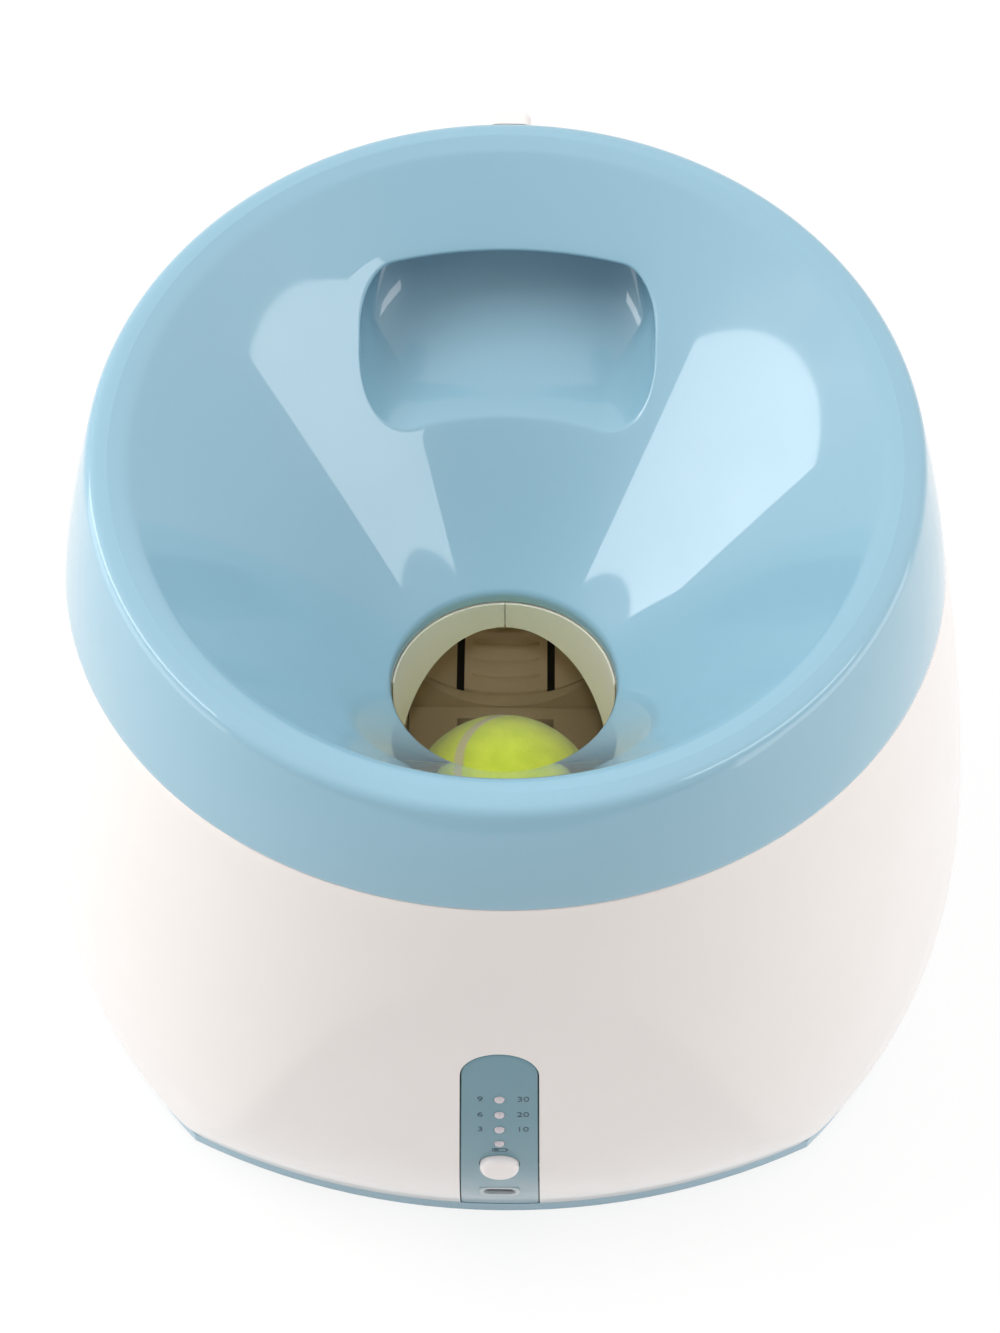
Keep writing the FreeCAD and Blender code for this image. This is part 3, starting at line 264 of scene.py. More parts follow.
def plastic(name, colour, roughness=0.2, grain=900, depth=0.01, uneven=0.02, **sockets):
    material, tree, bsdf = shader(name)
    surface = tree.nodes.new("ShaderNodeGroup"); surface.node_tree = moulded
    surface.inputs["Color"].default_value = rgba(colour)
    surface.inputs["Roughness"].default_value = roughness
    surface.inputs["Grain Scale"].default_value = grain
    surface.inputs["Unevenness"].default_value = uneven
    bump = tree.nodes.new("ShaderNodeBump")
    bump.inputs["Strength"].default_value, bump.inputs["Distance"].default_value = 0.5, depth * mm
    link(tree, surface.outputs["Color"], bsdf.inputs["Base Color"])
    link(tree, surface.outputs["Roughness"], bsdf.inputs["Roughness"])
    link(tree, surface.outputs["Height"], bump.inputs["Height"])
    link(tree, bump.outputs["Normal"], bsdf.inputs["Normal"])
    for key, value in sockets.items():
        bsdf.inputs[key.replace("_", " ")].default_value = value
    return material


def twoTone(name, low, high, height, **sockets):  # one colour under a height, another above
    material = plastic(name, low, **sockets)
    tree = material.node_tree
    where, parts = tree.nodes.new("ShaderNodeTexCoord"), tree.nodes.new("ShaderNodeSeparateXYZ")
    step, mix = tree.nodes.new("ShaderNodeMapRange"), tree.nodes.new("ShaderNodeMix")
    step.inputs["From Min"].default_value = (height - 0.1) * mm
    step.inputs["From Max"].default_value = (height + 0.1) * mm
    mix.data_type = "RGBA"
    mix.inputs["A"].default_value, mix.inputs["B"].default_value = rgba(low), rgba(high)
    link(tree, where.outputs["Object"], parts.inputs[0])
    link(tree, parts.outputs["Z"], step.inputs["Value"])
    link(tree, step.outputs[0], mix.inputs["Factor"])
    surface = next(node for node in tree.nodes if node.bl_idname == "ShaderNodeGroup")
    link(tree, mix.outputs["Result"], surface.inputs["Color"])
    return material


skyBlue = plastic("skyBluePlastic", (137, 178, 196), 0.42, 700, 0.01, 0.01, Coat_Weight=1.0,
                  Coat_Roughness=0.035)
stripBlue = plastic("stripPlastic", (91, 136, 150), 0.32, 700, 0.01, 0.01, Coat_Weight=0.4,
                    Coat_Roughness=0.1)
white = plastic("whitePlastic", (233, 226, 222), 0.35, 700, 0.01, 0.01, Coat_Weight=0.6,
                Coat_Roughness=0.08)
cream = plastic("creamPlastic", (226, 223, 205), 0.35, 1400, 0.03, 0.02)
khaki = plastic("khakiPlastic", (220, 202, 164), 0.42, 1400, 0.04, 0.03)
chamberTone = twoTone("chamberPlastic", (220, 202, 164), (244, 240, 222), 155.6, roughness=0.38, grain=1400,
                      depth=0.03)
dark = plastic("darkPlastic", (40, 40, 43), 0.4, 1200, 0.04, 0.05)
buttonWhite = plastic("buttonPlastic", (240, 233, 231), 0.18, 900, 0.01, 0.01)
frosted = plastic("frostedPlastic", (205, 196, 200), 0.25, 900, 0.02, 0.02)
paleGrey = plastic("paleGreyPlastic", (196, 204, 208), 0.25, 900, 0.01, 0.02)
# near-black plastic: the charge socket's own colour, also used as painted shade on the strips in the
# barrel's slots
nearBlackAndSlotShade = plastic("nearBlackPlasticAndSlotShade", (20, 18, 17), 0.6, 1200, 0.03, 0.05)
lensWhite = plastic("lensPlastic", (232, 230, 226), 0.3, 900, 0.02, 0.02)
rubber = plastic("rubber", (42, 42, 44), 0.75, 2200, 0.06, 0.06)
tyreRubber = plastic("tyreRubber", (56, 56, 58), 0.8, 1800, 0.08, 0.08)
steel = plastic("steel", (196, 196, 198), 0.28, 2500, 0.01, 0.03, Metallic=1.0)
motorSteel = plastic("motorSteel", (168, 168, 172), 0.35, 2500, 0.02, 0.04, Metallic=1.0)
boardGreen = plastic("boardGreen", (24, 96, 60), 0.35, 1500, 0.02, 0.08)
cellWrap = plastic("cellWrap", (60, 120, 170), 0.25, 900, 0.02, 0.03)
ink = plastic("ink", (58, 82, 96), 0.5, 2000, 0.01, 0.05)
print("materials ready")

# camera

view = {"place": (0.004837, -0.528219, 0.812436), "toward": (-0.007522, 0.615616, -0.788011),
        "focal": 2600.0, "tall": 1333.0, "sensor": 36.0}
lens = bpy.data.cameras.new("camera")
lens.sensor_width, lens.lens = view["sensor"], view["sensor"] * view["focal"] / view["tall"]
lens.clip_start, lens.clip_end = 0.01, 50
camera = bpy.data.objects.new("camera", lens)
camera.location = view["place"]
camera.rotation_euler = Vector(view["toward"]).to_track_quat("-Z", "Y").to_euler()
bpy.context.scene.collection.objects.link(camera)
bpy.context.scene.camera = camera
bpy.context.scene.view_settings.view_transform = "Standard"

# white body

shell = {"profile": [(148.4, 6), (157, 50), (152.2, 118), (144.6, 162), (136.2, 200)],
         "front": [(129.3, 6), (138.5, 30), (146, 57), (148, 90), (145.7, 134), (142.7, 171), (139, 205)],
         "frontAxis": 105.0, "archRound": 30.0, "wall": 2.8, "low": 6.0, "high": 200.0,
         "around": 360, "up": 84, "inside": 24, "edge": 0.5, "crowd": 0.5, "spun": 100, "probe": 0.5}
bodyReach, frontReach = smoothCurve(shell["profile"]), smoothCurve(shell["front"])


def roundReach(angle, height):
    return bodyReach(height) + 0 * angle


def flatReach(angle, height):  # distance to the flattened front, along a direction
    back = shell["frontAxis"]
    s = np.sin(angle)
    return back * s + np.sqrt(back ** 2 * (s ** 2 - 1) + (back + frontReach(height)) ** 2)


# distance from the axis to the outside, with the arch between the two forms rounded
def shellReach(angle, height):
    small = shell["probe"]
    first, second = roundReach(angle, height), flatReach(angle, height)
    apart = lambda a, h: roundReach(a, h) - flatReach(a, h)
    turn = small / first
    across = (apart(angle + turn, height) - apart(angle - turn, height)) / (2 * small)
    upward = (apart(angle, height + small) - apart(angle, height - small)) / (2 * small)
    blend = np.maximum(shell["archRound"] * (across ** 2 + upward ** 2) / 2, 0.02)
    over = np.maximum(blend - np.abs(first - second), 0) / blend
    return np.minimum(first, second) - over ** 2 * blend / 4


def shapeShell(mesh):  # moves the plain spun shell onto the real one
    co = pointsOf(mesh)
    depth = shell["spun"] - np.hypot(co[:, 0], co[:, 1])
    angle = np.arctan2(co[:, 1], co[:, 0])
    front = (angle + pi / 2 + pi) % (2 * pi) - pi
    angle = front - shell["crowd"] * np.sin(front) - pi / 2
    reach = shellReach(angle, np.clip(co[:, 2], shell["low"], shell["high"])) - depth
    co[:, 0], co[:, 1] = reach * np.cos(angle), reach * np.sin(angle)
    movePoints(mesh, co)


def shellProfile():  # (depth, height) round the wall's section
    e, wall, low, high = shell["edge"], shell["wall"], shell["low"], shell["high"]
    outside = np.linspace(low + e, high - e, shell["up"])
    inside = np.linspace(high - e, low + e, shell["inside"])
    points = [(e, low), (e * 0.3, low + e * 0.3)] + [(0, z) for z in outside]
    points += [(e * 0.3, high - e * 0.3), (e, high), (wall, high)]
    points += [(wall, z) for z in inside] + [(wall, low)]
    return points


# outline of the control strip, anticlockwise from the front: x and z
def roundTopped(half, foot, top, low, steps):
    centre = top - half
    points = [(-foot + 2 * foot * k / 6, low) for k in range(6)]
    points += [(foot + (half - foot) * k / steps, low + (centre - low) * k / steps) for k in range(steps)]
    points += [(half * cos(pi * k / steps), centre + half * sin(pi * k / steps)) for k in range(steps)]
    points += [(-half - (foot - half) * k / steps, centre - (centre - low) * k / steps)
               for k in range(steps)]
    return points


def prism(name, outline, near, far):  # x, z outline pushed along y
    bm = bmesh.new()
    sweptSolid(bm, [[(x, y, z) for x, z in outline] for y in (near, far)])
    return toMesh(name, bm)


def rod(name, radius, start, end, segments=48):
    start, end = Vector(start), Vector(end)
    bm = bmesh.new()
    turn = Vector((0, 0, 1)).rotation_difference(end - start).to_matrix().to_4x4()
    bmesh.ops.create_cone(bm, cap_ends=True, radius1=radius, radius2=radius, depth=(end - start).length,
                          segments=segments, matrix=Matrix.Translation((start + end) / 2) @ turn)
    return toMesh(name, bm)


strip = {"half": 11.6, "foot": 13.3, "top": 136.0, "gap": 0.3, "low": 6.0, "depth": 4.8, "edge": 0.7,
         "lights": (85.0, 93.85, 102.7, 111.55), "lightHole": 1.76, "button": 70.4, "buttonHole": 6.45,
         "port": 43.5, "portHalf": 6.66, "portHigh": 3.06, "sink": 0.15}
outlet = {"centre": (0, 29.0, 111.9), "slope": 10.0, "hole": 40.3}


def launchPoint(along, up=0.0):
    turn = radians(outlet["slope"])
    x, y, z = outlet["centre"]
    return (x, y + along * cos(turn) - up * sin(turn), z + along * sin(turn) + up * cos(turn))


bm = bmesh.new()
section = shellProfile()
loop = startLoop(bm, [(shell["spun"] - depth, 0, height) for depth, height in section])
bmesh.ops.spin(bm, geom=loop + list(bm.edges), cent=(0, 0, 0), axis=(0, 0, 1), angle=2 * pi,
               steps=shell["around"], use_merge=True, use_duplicate=False)
shellMesh = toMesh("whiteBody", bm)
shapeShell(shellMesh)
gap = strip["gap"]
slotShape = roundTopped(strip["half"] + gap, strip["foot"] + gap, strip["top"] + gap, -5, 24)
slotTool = prism("slotTool", slotShape, -180, -100)
outletTool = rod("outletTool", outlet["hole"], launchPoint(60), launchPoint(165), 96)
shellMesh = carve(shellMesh, [slotTool, outletTool])
place("whiteBody", shellMesh, white, replaced=["outer_body"], sharp=35)
print("white body made,", len(shellMesh.polygons), "faces")

# blue top

top = {"tilt": 8.0, "rimY": -1.0, "rimZ": 247.2, "rim": 124.0, "rimInner": 117.8, "rimRound": 4.5,
       "seam": 136.2, "seamZ": 200.0, "crown": 0.9, "neck": 112.6, "neckDrop": 1.7, "lipRound": 8.0,
       "holeY": -33.4, "hole": 35.1, "holeZ": 167.7, "throat": 4.5, "throatRound": 4.0, "wall": 3.0,
       "around": 288, "skirtRings": 22, "wallRings": 54}
recess = {"half": 46.7, "low": 208.1, "high": 240.4, "lowCorner": 18.0, "highCorner": 10.0,
          "back": [(58.5, 208.1), (72, 210), (84, 214), (93.5, 220), (101, 228), (105.5, 236),
                   (107, 240.4)],
          "sideRound": 18.0, "topRound": 4.0, "edgeSide": 1.2, "edgeLow": 4.0, "edgeHigh": 0.8}

theta = np.arange(top["around"]) * 2 * pi / top["around"]
tilt = radians(top["tilt"])


def tiltedRing(centre, radius, lean, around=theta):  # ring about a leaning axis, the rear at angle 0
    level = np.array((0, cos(lean), sin(lean)))
    return (np.array(centre) + radius * np.sin(around)[:, None] * np.array((1.0, 0, 0))
            + radius * np.cos(around)[:, None] * level)


def rimRing(radius, rise, around=theta):
    centre = (0, top["rimY"] - rise * sin(tilt), top["rimZ"] + rise * cos(tilt))
    return tiltedRing(centre, radius, tilt, around)


def throatRing(radius, height, around=theta):
    return tiltedRing((0, top["holeY"], height), radius, 0.0, around)


def wallEnds(around):  # upper and lower end of the funnel's straight wall, after its corners are rounded
    edge, neck = rimRing(top["rimInner"], 0, around), rimRing(top["neck"], -top["neckDrop"], around)
    throat = throatRing(top["hole"], top["holeZ"] + top["throat"], around)
    lip = roundCorner(neck, edge - neck, throat - neck, top["lipRound"], 8)
    down = np.tile(np.array((0.0, 0, -1)), (len(throat), 1))
    bottom = roundCorner(throat, neck - throat, down, top["throatRound"], 8)
    return lip, bottom


def onWall(around, share):
    lip, bottom = wallEnds(around)
    return lip[-1] + (bottom[0] - lip[-1]) * share[:, None]


def wallShares(x, z):  # where a point seen from the front lies on the rear wall
    around, share = np.arcsin(np.clip(x / 80, -0.9, 0.9)), np.full(len(x), 0.4)
    step = 1e-4
    for _ in range(12):
        here = onWall(around, share)
        da, ds = (onWall(around + step, share) - here) / step, (onWall(around, share + step) - here) / step
        ex, ez = x - here[:, 0], z - here[:, 2]
        det = da[:, 0] * ds[:, 2] - da[:, 2] * ds[:, 0]
        around = around + (ex * ds[:, 2] - ez * ds[:, 0]) / det
        share = share + (da[:, 0] * ez - da[:, 2] * ex) / det
    return around, share


# evenly spaced points of the recess outline, with their outward directions, from the bottom
def recessOutline():
    half, low, high = recess["half"], recess["low"], recess["high"]
    a, b = recess["lowCorner"], recess["highCorner"]
    pieces = [("line", (0, low), (half - a, low)), ("arc", (half - a, low + a), a, -90, 0),
              ("line", (half, low + a), (half, high - b)), ("arc", (half - b, high - b), b, 0, 90),
              ("line", (half - b, high), (-half + b, high)), ("arc", (-half + b, high - b), b, 90, 180),
              ("line", (-half, high - b), (-half, low + a)), ("arc", (-half + a, low + a), a, 180, 270),
              ("line", (-half + a, low), (0, low))]
    dense, facing = [], []
    for part in pieces:
        if part[0] == "line":
            start, end = np.array(part[1]), np.array(part[2])
            along = unit(end - start)
            for k in np.linspace(0, 1, 200, endpoint=False):
                dense.append(start + (end - start) * k)
                facing.append((along[1], -along[0]))
        else:
            for angle in np.radians(np.linspace(part[3], part[4], 200, endpoint=False)):
                facing.append((cos(angle), sin(angle)))
                dense.append(np.array(part[1]) + part[2] * np.array(facing[-1]))
    return np.array(dense), np.array(facing)


def recessDepth(x, z):  # how far back the recess reaches
    back = smoothCurve(recess["back"])(z)
    r, limit = recess["sideRound"], recess["half"] - recess["sideRound"]
    over = np.clip(np.abs(x) - limit, 0, r)
    back = back - (r - np.sqrt(np.maximum(r * r - over * over, 0)))
    r, limit = recess["topRound"], recess["high"] - recess["topRound"]
    over = np.clip(z - limit, 0, r)
    return back - (r - np.sqrt(np.maximum(r * r - over * over, 0)))


def blueTop():
    bm = bmesh.new()
    seam = tiltedRing((0, 0, top["seamZ"]), top["seam"], 0)
    rim = rimRing(top["rim"], 0)
    middleR = (top["seam"] + top["rim"]) / 2 + top["crown"]
    middle = tiltedRing((0, top["rimY"] / 2, (top["seamZ"] + top["rimZ"]) / 2), middleR, tilt / 2)

    def skirt(s):
        return seam * (1 - s) * (1 - 2 * s) + middle * 4 * s * (1 - s) + rim * s * (2 * s - 1)

    inward = rimRing(top["rim"] - 10, 0) - rim
    crest = roundCorner(rim, skirt(0.97) - rim, inward, top["rimRound"], 7)
    used = np.linalg.norm(crest[0] - rim, axis=1).mean() / np.linalg.norm(rim - seam, axis=1).mean()
    edge = rimRing(top["rimInner"], 0)
    neck = rimRing(top["neck"], -top["neckDrop"])
    crestEnd = roundCorner(edge, crest[-1] - edge, neck - edge, 1.2, 3)
    lip, bottom = wallEnds(theta)
    fillet = 0.45
    inside = tiltedRing((0, 0, top["seamZ"]), top["seam"] - top["wall"], 0)
    edgeLow = tiltedRing((0, 0, top["seamZ"]), top["seam"] - fillet, 0)
    rings = [inside, edgeLow, skirt(0.004) + (edgeLow - seam) * 0.3]
    rings += [skirt(s) for s in np.linspace(0.011, 1 - used, top["skirtRings"])[:-1]]
    rings += crest + crestEnd
    rings += [crestEnd[-1] + (lip[0] - crestEnd[-1]) * k / 6 for k in range(1, 6)]
    rings += lip
    wallStart = len(rings) - 1
    rings += [lip[-1] + (bottom[0] - lip[-1]) * k / top["wallRings"] for k in range(1, top["wallRings"])]
    rings += bottom
    low = top["holeZ"]
    rings += [throatRing(top["hole"], low + 1.5), throatRing(top["hole"], low + 0.4),
              throatRing(top["hole"] + 0.12, low + 0.12), throatRing(top["hole"] + 0.4, low),
              throatRing(top["hole"] + 3.2, low)]
    loop = startLoop(bm, rings[0])
    table = [loop]
    for ring in rings[1:]:
        loop = growLoop(bm, loop, ring)
        table.append(loop)
    cutRecess(bm, table, wallStart)
    return toMesh("blueTop", bm)


def cutRecess(bm, table, wallStart):  # opens a block of the wall's faces and grows its edge into the recess
    dense, facing = recessOutline()
    around, share = wallShares(dense[:, 0], dense[:, 1])
    count, walls = top["around"], top["wallRings"]
    spread = int(np.ceil(around.max() / (2 * pi / count))) + 2
    first = int(np.floor(share.min() * walls)) - 2
    last = int(np.ceil(share.max() * walls)) + 2
    columns = list(range(-spread, spread + 1))
    rows = list(range(first, last + 1))
    cell = lambda column, row: table[wallStart + row][column % count]
    inner = {cell(c, r) for c in columns[1:-1] for r in rows[1:-1]}
    bmesh.ops.delete(bm, geom=list(inner), context="VERTS")
    # the block's edge, anticlockwise from the bottom middle as seen from the front
    edge = [(c, last) for c in columns[spread:]] + [(spread, r) for r in rows[::-1][1:]]
    edge += [(c, first) for c in columns[::-1][1:]] + [(-spread, r) for r in rows[1:]]
    edge += [(c, last) for c in columns[1:spread]]
    loop = [cell(c, r) for c, r in edge]
    spots = np.array([(c * 2 * pi / count, r / walls) for c, r in edge])
    middle = np.array((0.0, (share.min() + share.max()) / 2))
    size = np.array((spread * 2 * pi / count, (last - first) / 2 / walls))
    bearing = lambda a, s: np.arctan2((middle[1] - s) / size[1], (a - middle[0]) / size[0])
    ours, theirs = bearing(spots[:, 0], spots[:, 1]), bearing(around, share)
    order = np.argsort(theirs)
    pick = [order[np.searchsorted(theirs[order], angle) % len(order)] for angle in ours]
    outline, out = dense[pick], facing[pick]
    edgeA, edgeS = around[pick], share[pick]
    on = onWall(edgeA, edgeS)
    grown = outline + out * 0.5
    nearA, nearS = wallShares(grown[:, 0], grown[:, 1])
    outward = onWall(nearA, nearS) - on
    back = np.tile(np.array((0.0, 1.0, 0)), (len(on), 1))
    side, upward = recess["edgeSide"], out[:, 1]
    radius = side + np.where(upward < 0, (recess["edgeLow"] - side) * upward ** 2,
                             (recess["edgeHigh"] - side) * upward ** 2)
    lipRings = roundCorner(on, outward, back, radius[:, None], 6)
    reach = np.linalg.norm(lipRings[0] - on, axis=1)
    far = outline + out * reach[:, None]
    farA, farS = wallShares(far[:, 0], far[:, 1])
    rings = []
    for k in (0.34, 0.67):
        rings.append(onWall(spots[:, 0] + (farA - spots[:, 0]) * k,
                            spots[:, 1] + (farS - spots[:, 1]) * k))
    rings += lipRings
    deep = recessDepth(outline[:, 0], outline[:, 1])
    start = lipRings[-1]
    for k in (0.3, 0.65, 1.0):
        ring = start.copy()
        ring[:, 1] = start[:, 1] + (deep - start[:, 1]) * k
        rings.append(ring)
    centreZ = (recess["low"] + recess["high"]) / 2
    for k in (0.99, 0.975, 0.955, 0.93, 0.9, 0.86, 0.81, 0.75, 0.68, 0.6, 0.5, 0.4, 0.3, 0.2, 0.1):
        x, z = outline[:, 0] * k, centreZ + (outline[:, 1] - centreZ) * k
        rings.append(np.stack([x, recessDepth(x, z), z], axis=1))
    loop = growLoops(bm, loop, rings)
    fillLoop(bm, loop)


topMesh = blueTop()
place("blueTop", topMesh, skyBlue, replaced=["funnel_cap"], sharp=60)
print("blue top made,", len(topMesh.polygons), "faces")

# control strip

def frontY(x, z):  # the flattened front, where the strip lies
    back = shell["frontAxis"]
    return back - np.sqrt((back + frontReach(z)) ** 2 - np.asarray(x) ** 2)


def stripRing(inset, sink):
    points = np.array(roundTopped(strip["half"] - inset, strip["foot"] - inset, strip["top"] - inset,
                                  strip["low"] + inset, 24))
    return np.stack([points[:, 0], frontY(points[:, 0], points[:, 1]) + sink, points[:, 1]], axis=1)


def slotOutline(half, high, centre, steps=10):
    flat = half - high
    right = [(flat + high * cos(a), centre + high * sin(a)) for a in np.linspace(-pi / 2, pi / 2, steps)]
    return right + [(-x, 2 * centre - z) for x, z in right]


bm = bmesh.new()
e, sink = strip["edge"], strip["sink"]
rings = [stripRing(0, strip["depth"]), stripRing(0, sink + e)]
rings += [stripRing(e * (1 - cos(a)), sink + e * (1 - sin(a))) for a in np.radians((30, 60, 90))]
rings += [stripRing(d, sink) for d in (2, 4, 6, 8, 10, 11.2)]
spine = rings[-1].copy()
spine[:, 0], spine[:, 1] = 0.0, frontY(0.0, spine[:, 2]) + sink
loop = startLoop(bm, rings[0])
fillLoop(bm, loop)
growLoops(bm, loop, rings[1:] + [spine])
stripMesh = toMesh("controlStrip", bm)
tools = [rod("lightTool", strip["lightHole"], (0, -160, z), (0, -120, z), 24) for z in strip["lights"]]
tools.append(rod("buttonTool", strip["buttonHole"], (0, -160, strip["button"]), (0, -120, strip["button"])))
tools.append(prism("portTool", slotOutline(strip["portHalf"], strip["portHigh"], strip["port"]),
                   -160, -120))
stripMesh = carve(stripMesh, tools)
place("controlStrip", stripMesh, stripBlue, replaced=["control_panel"], sharp=35)

for index, z in enumerate(strip["lights"]):
    tip = float(frontY(0, z)) - 0.8
    profile = [(0, 0), (0.6, 0.06), (1.1, 0.25), (1.45, 0.55), (1.65, 1.0), (1.7, 1.5), (1.7, 12)]
    lightMesh = toMesh("statusLight%d" % (index + 1), turned(profile, 24, (0, tip, z), (0, 1, 0)))
    place("statusLight%d" % (index + 1), lightMesh, frosted,
          replaced=["indicator_lights"] if index == 0 else ())

button = {"radius": 6.15, "proud": 3.2, "round": 1.9, "crown": 0.25}
face = float(frontY(0, strip["button"])) - button["proud"]
r, c, edgeR = button["radius"], button["crown"], button["round"]
profile = [(0, 0), (1.5, c * 0.06), (3, c * 0.35), (r - edgeR, c)]
profile += [(r - edgeR + edgeR * sin(a), c + edgeR * (1 - cos(a)))
            for a in np.radians((20, 40, 60, 75, 90))]
profile += [(r, 8.2), (r + 1.2, 8.2), (r + 1.2, 9.4), (2.2, 9.4), (2.2, 14.5), (0, 14.5)]
buttonMesh = toMesh("powerButton", turned(profile, 64, (0, face, strip["button"]), (0, 1, 0)))
place("powerButton", buttonMesh, buttonWhite, body="power_button", replaced=["power_button"])

labels = {"high": 2.9, "left": -5.9, "right": 7.2, "texts": (("3", "10"), ("6", "20"), ("9", "30")),
          "thick": 0.06, "cell": (0.0, 80.7, 2.3, 1.05, 0.32)}


def onStrip(name, mesh):  # lays a flat x, z mesh on the strip's face
    co = pointsOf(mesh)
    co[:, 1] += frontY(co[:, 0], co[:, 2]) + strip["sink"]
    movePoints(mesh, co)
    place(name, mesh, ink)


def wordMesh(name, text, x, z):
    curve = bpy.data.curves.new(name, "FONT")
    curve.body, curve.size, curve.resolution_u = text, labels["high"] * 1.36, 6
    curve.align_x, curve.align_y = "CENTER", "CENTER"
    curve.extrude = labels["thick"]
    word = bpy.data.objects.new(name, curve)
    bpy.context.scene.collection.objects.link(word)
    bpy.context.view_layer.update()
    mesh = bpy.data.meshes.new_from_object(word.evaluated_get(bpy.context.evaluated_depsgraph_get()))
    bpy.data.objects.remove(word)
    mesh.transform(Matrix.Scale(mm, 4) @ Matrix.Translation((x, 0, z)) @ Matrix.Rotation(pi / 2, 4, "X"))
    return mesh


for texts, z in zip(labels["texts"], strip["lights"][1:]):
    for text, side in zip(texts, ("left", "right")):
        onStrip("number" + text, wordMesh("number" + text, text, labels[side], z))

x, z, half, high, line = labels["cell"]


def cellBlock(name, left, low, right, top):
    outline = [(left, low), (right, low), (right, top), (left, top)]
    return prism(name, outline, -labels["thick"], labels["thick"])


outlines = [cellBlock("cellLow", -half, z - high, half, z - high + line),
            cellBlock("cellHigh", -half, z + high - line, half, z + high),
            cellBlock("cellLeft", -half, z - high, -half + line, z + high),
            cellBlock("cellRight", half - line, z - high, half, z + high),
            cellBlock("cellTip", half, z - high / 2, half + 0.45, z + high / 2),
            cellBlock("cellBar", -half + 0.6, z - 0.45, -half + 2.1, z + 0.45)]
onStrip("cellMark", carve(outlines[0], outlines[1:], "UNION"))

port = {"half": 6.6, "high": 3.0, "inner": 5.16, "innerHigh": 1.6, "proud": 0.8}
portY = float(frontY(0, strip["port"])) - port["proud"]
bm = bmesh.new()


def portRing(half, high, depth):
    return [(x, portY + depth, z) for x, z in slotOutline(half, high, strip["port"], 12)]


rings = [(port["half"], port["high"], 10), (port["half"], port["high"], 0.5),
         (port["half"] - 0.15, port["high"] - 0.15, 0.15), (port["half"] - 0.5, port["high"] - 0.5, 0.0),
         (port["inner"] + 0.4, port["innerHigh"] + 0.35, 0.0),
         (port["inner"] + 0.1, port["innerHigh"] + 0.1, 0.12),
         (port["inner"], port["innerHigh"], 0.4), (port["inner"], port["innerHigh"], 10)]
loop = startLoop(bm, portRing(*rings[0]))
growLoops(bm, loop, [portRing(*ring) for ring in rings[1:]])
place("portCollar", toMesh("portCollar", bm), paleGrey, replaced=["charge_port"])
print("control strip made")

# ball

ball = {"centre": (0, -35.6, 103.46), "radius": 32.5, "detail": 7, "seamHalf": 1.75, "seamDeep": 0.35,
        "turn": (128.6, 29.9, 151.5), "bow": 0.27}


def seamPoints(count):
    t = np.linspace(0, 2 * pi, count, endpoint=False)
    a, b = 1 - ball["bow"], ball["bow"]
    c = 2 * sqrt(a * b)
    points = np.stack([a * np.cos(t) + b * np.cos(3 * t), a * np.sin(t) - b * np.sin(3 * t),
                       c * np.sin(2 * t)], axis=1)
    return unit(points)


def ballMesh():
    bm = bmesh.new()
    bmesh.ops.create_icosphere(bm, subdivisions=ball["detail"], radius=1)
    mesh = bpy.data.meshes.new("ball")
    bm.to_mesh(mesh)
    bm.free()
    co = pointsOf(mesh, 1)
    turn = np.array(Euler([radians(a) for a in ball["turn"]]).to_matrix())
    seam = seamPoints(720) @ turn.T
    near = np.full(len(co), -1.0)
    for start in range(0, len(seam), 60):
        near = np.maximum(near, (co @ seam[start:start + 60].T).max(axis=1))
    away = np.arccos(np.clip(near, -1, 1)) * ball["radius"]
    mask = 1 - np.clip((away - ball["seamHalf"] + 0.35) / 0.7, 0, 1)
    groove = np.exp(-(away / ball["seamHalf"]) ** 4)
    reach = ball["radius"] - 0.15 - ball["seamDeep"] * groove
    co = np.array(ball["centre"]) + co * reach[:, None]
    layer = mesh.attributes.new("seam", "FLOAT", "POINT")
    layer.data.foreach_set("value", mask.astype(np.float32))
    movePoints(mesh, co)
    return mesh


def feltMaterial():
    material, tree, bsdf = shader("ballFelt")
    new = tree.nodes.new
    where, seam = new("ShaderNodeTexCoord"), new("ShaderNodeAttribute")
    seam.attribute_name = "seam"
    fluff, patch = new("ShaderNodeTexNoise"), new("ShaderNodeTexNoise")
    fluff.inputs["Scale"].default_value, fluff.inputs["Detail"].default_value = 1500, 6
    patch.inputs["Scale"].default_value, patch.inputs["Detail"].default_value = 160, 4
    for texture in (fluff, patch):
        link(tree, where.outputs["Object"], texture.inputs["Vector"])
    colours = new("ShaderNodeValToRGB")
    colours.color_ramp.elements[0].position, colours.color_ramp.elements[1].position = 0.3, 0.7
    colours.color_ramp.elements[0].color = rgba((184, 204, 46))
    colours.color_ramp.elements[1].color = rgba((200, 216, 58))
    link(tree, patch.outputs["Fac"], colours.inputs["Fac"])
    mix = new("ShaderNodeMix"); mix.data_type = "RGBA"
    mix.inputs["B"].default_value = rgba((188, 184, 140))
    link(tree, seam.outputs["Fac"], mix.inputs["Factor"])
    link(tree, colours.outputs["Color"], mix.inputs["A"])
    link(tree, mix.outputs["Result"], bsdf.inputs["Base Color"])
    bump = new("ShaderNodeBump")
    bump.inputs["Strength"].default_value, bump.inputs["Distance"].default_value = 0.8, 0.4 * mm
    link(tree, fluff.outputs["Fac"], bump.inputs["Height"])
    link(tree, bump.outputs["Normal"], bsdf.inputs["Normal"])
    bsdf.inputs["Roughness"].default_value = 0.95
    bsdf.inputs["Sheen Weight"].default_value = 0.4
    bsdf.inputs["Sheen Roughness"].default_value = 0.6
    return material


place("feltBall", ballMesh(), feltMaterial(), body="tennis_ball", replaced=["tennis_ball"],
      sharp=None)
print("ball made")

# ribbed liner in the floor of the barrel

liner = {"outer": 34.85, "inner": 34.2, "rib": 33.3, "from": -2.0, "to": 44.0, "pitch": 6.5, "groove": 1.3,
         "middle": 12.0, "rail": 14.7, "slot": 17.4, "side": 31.0, "around": 6}


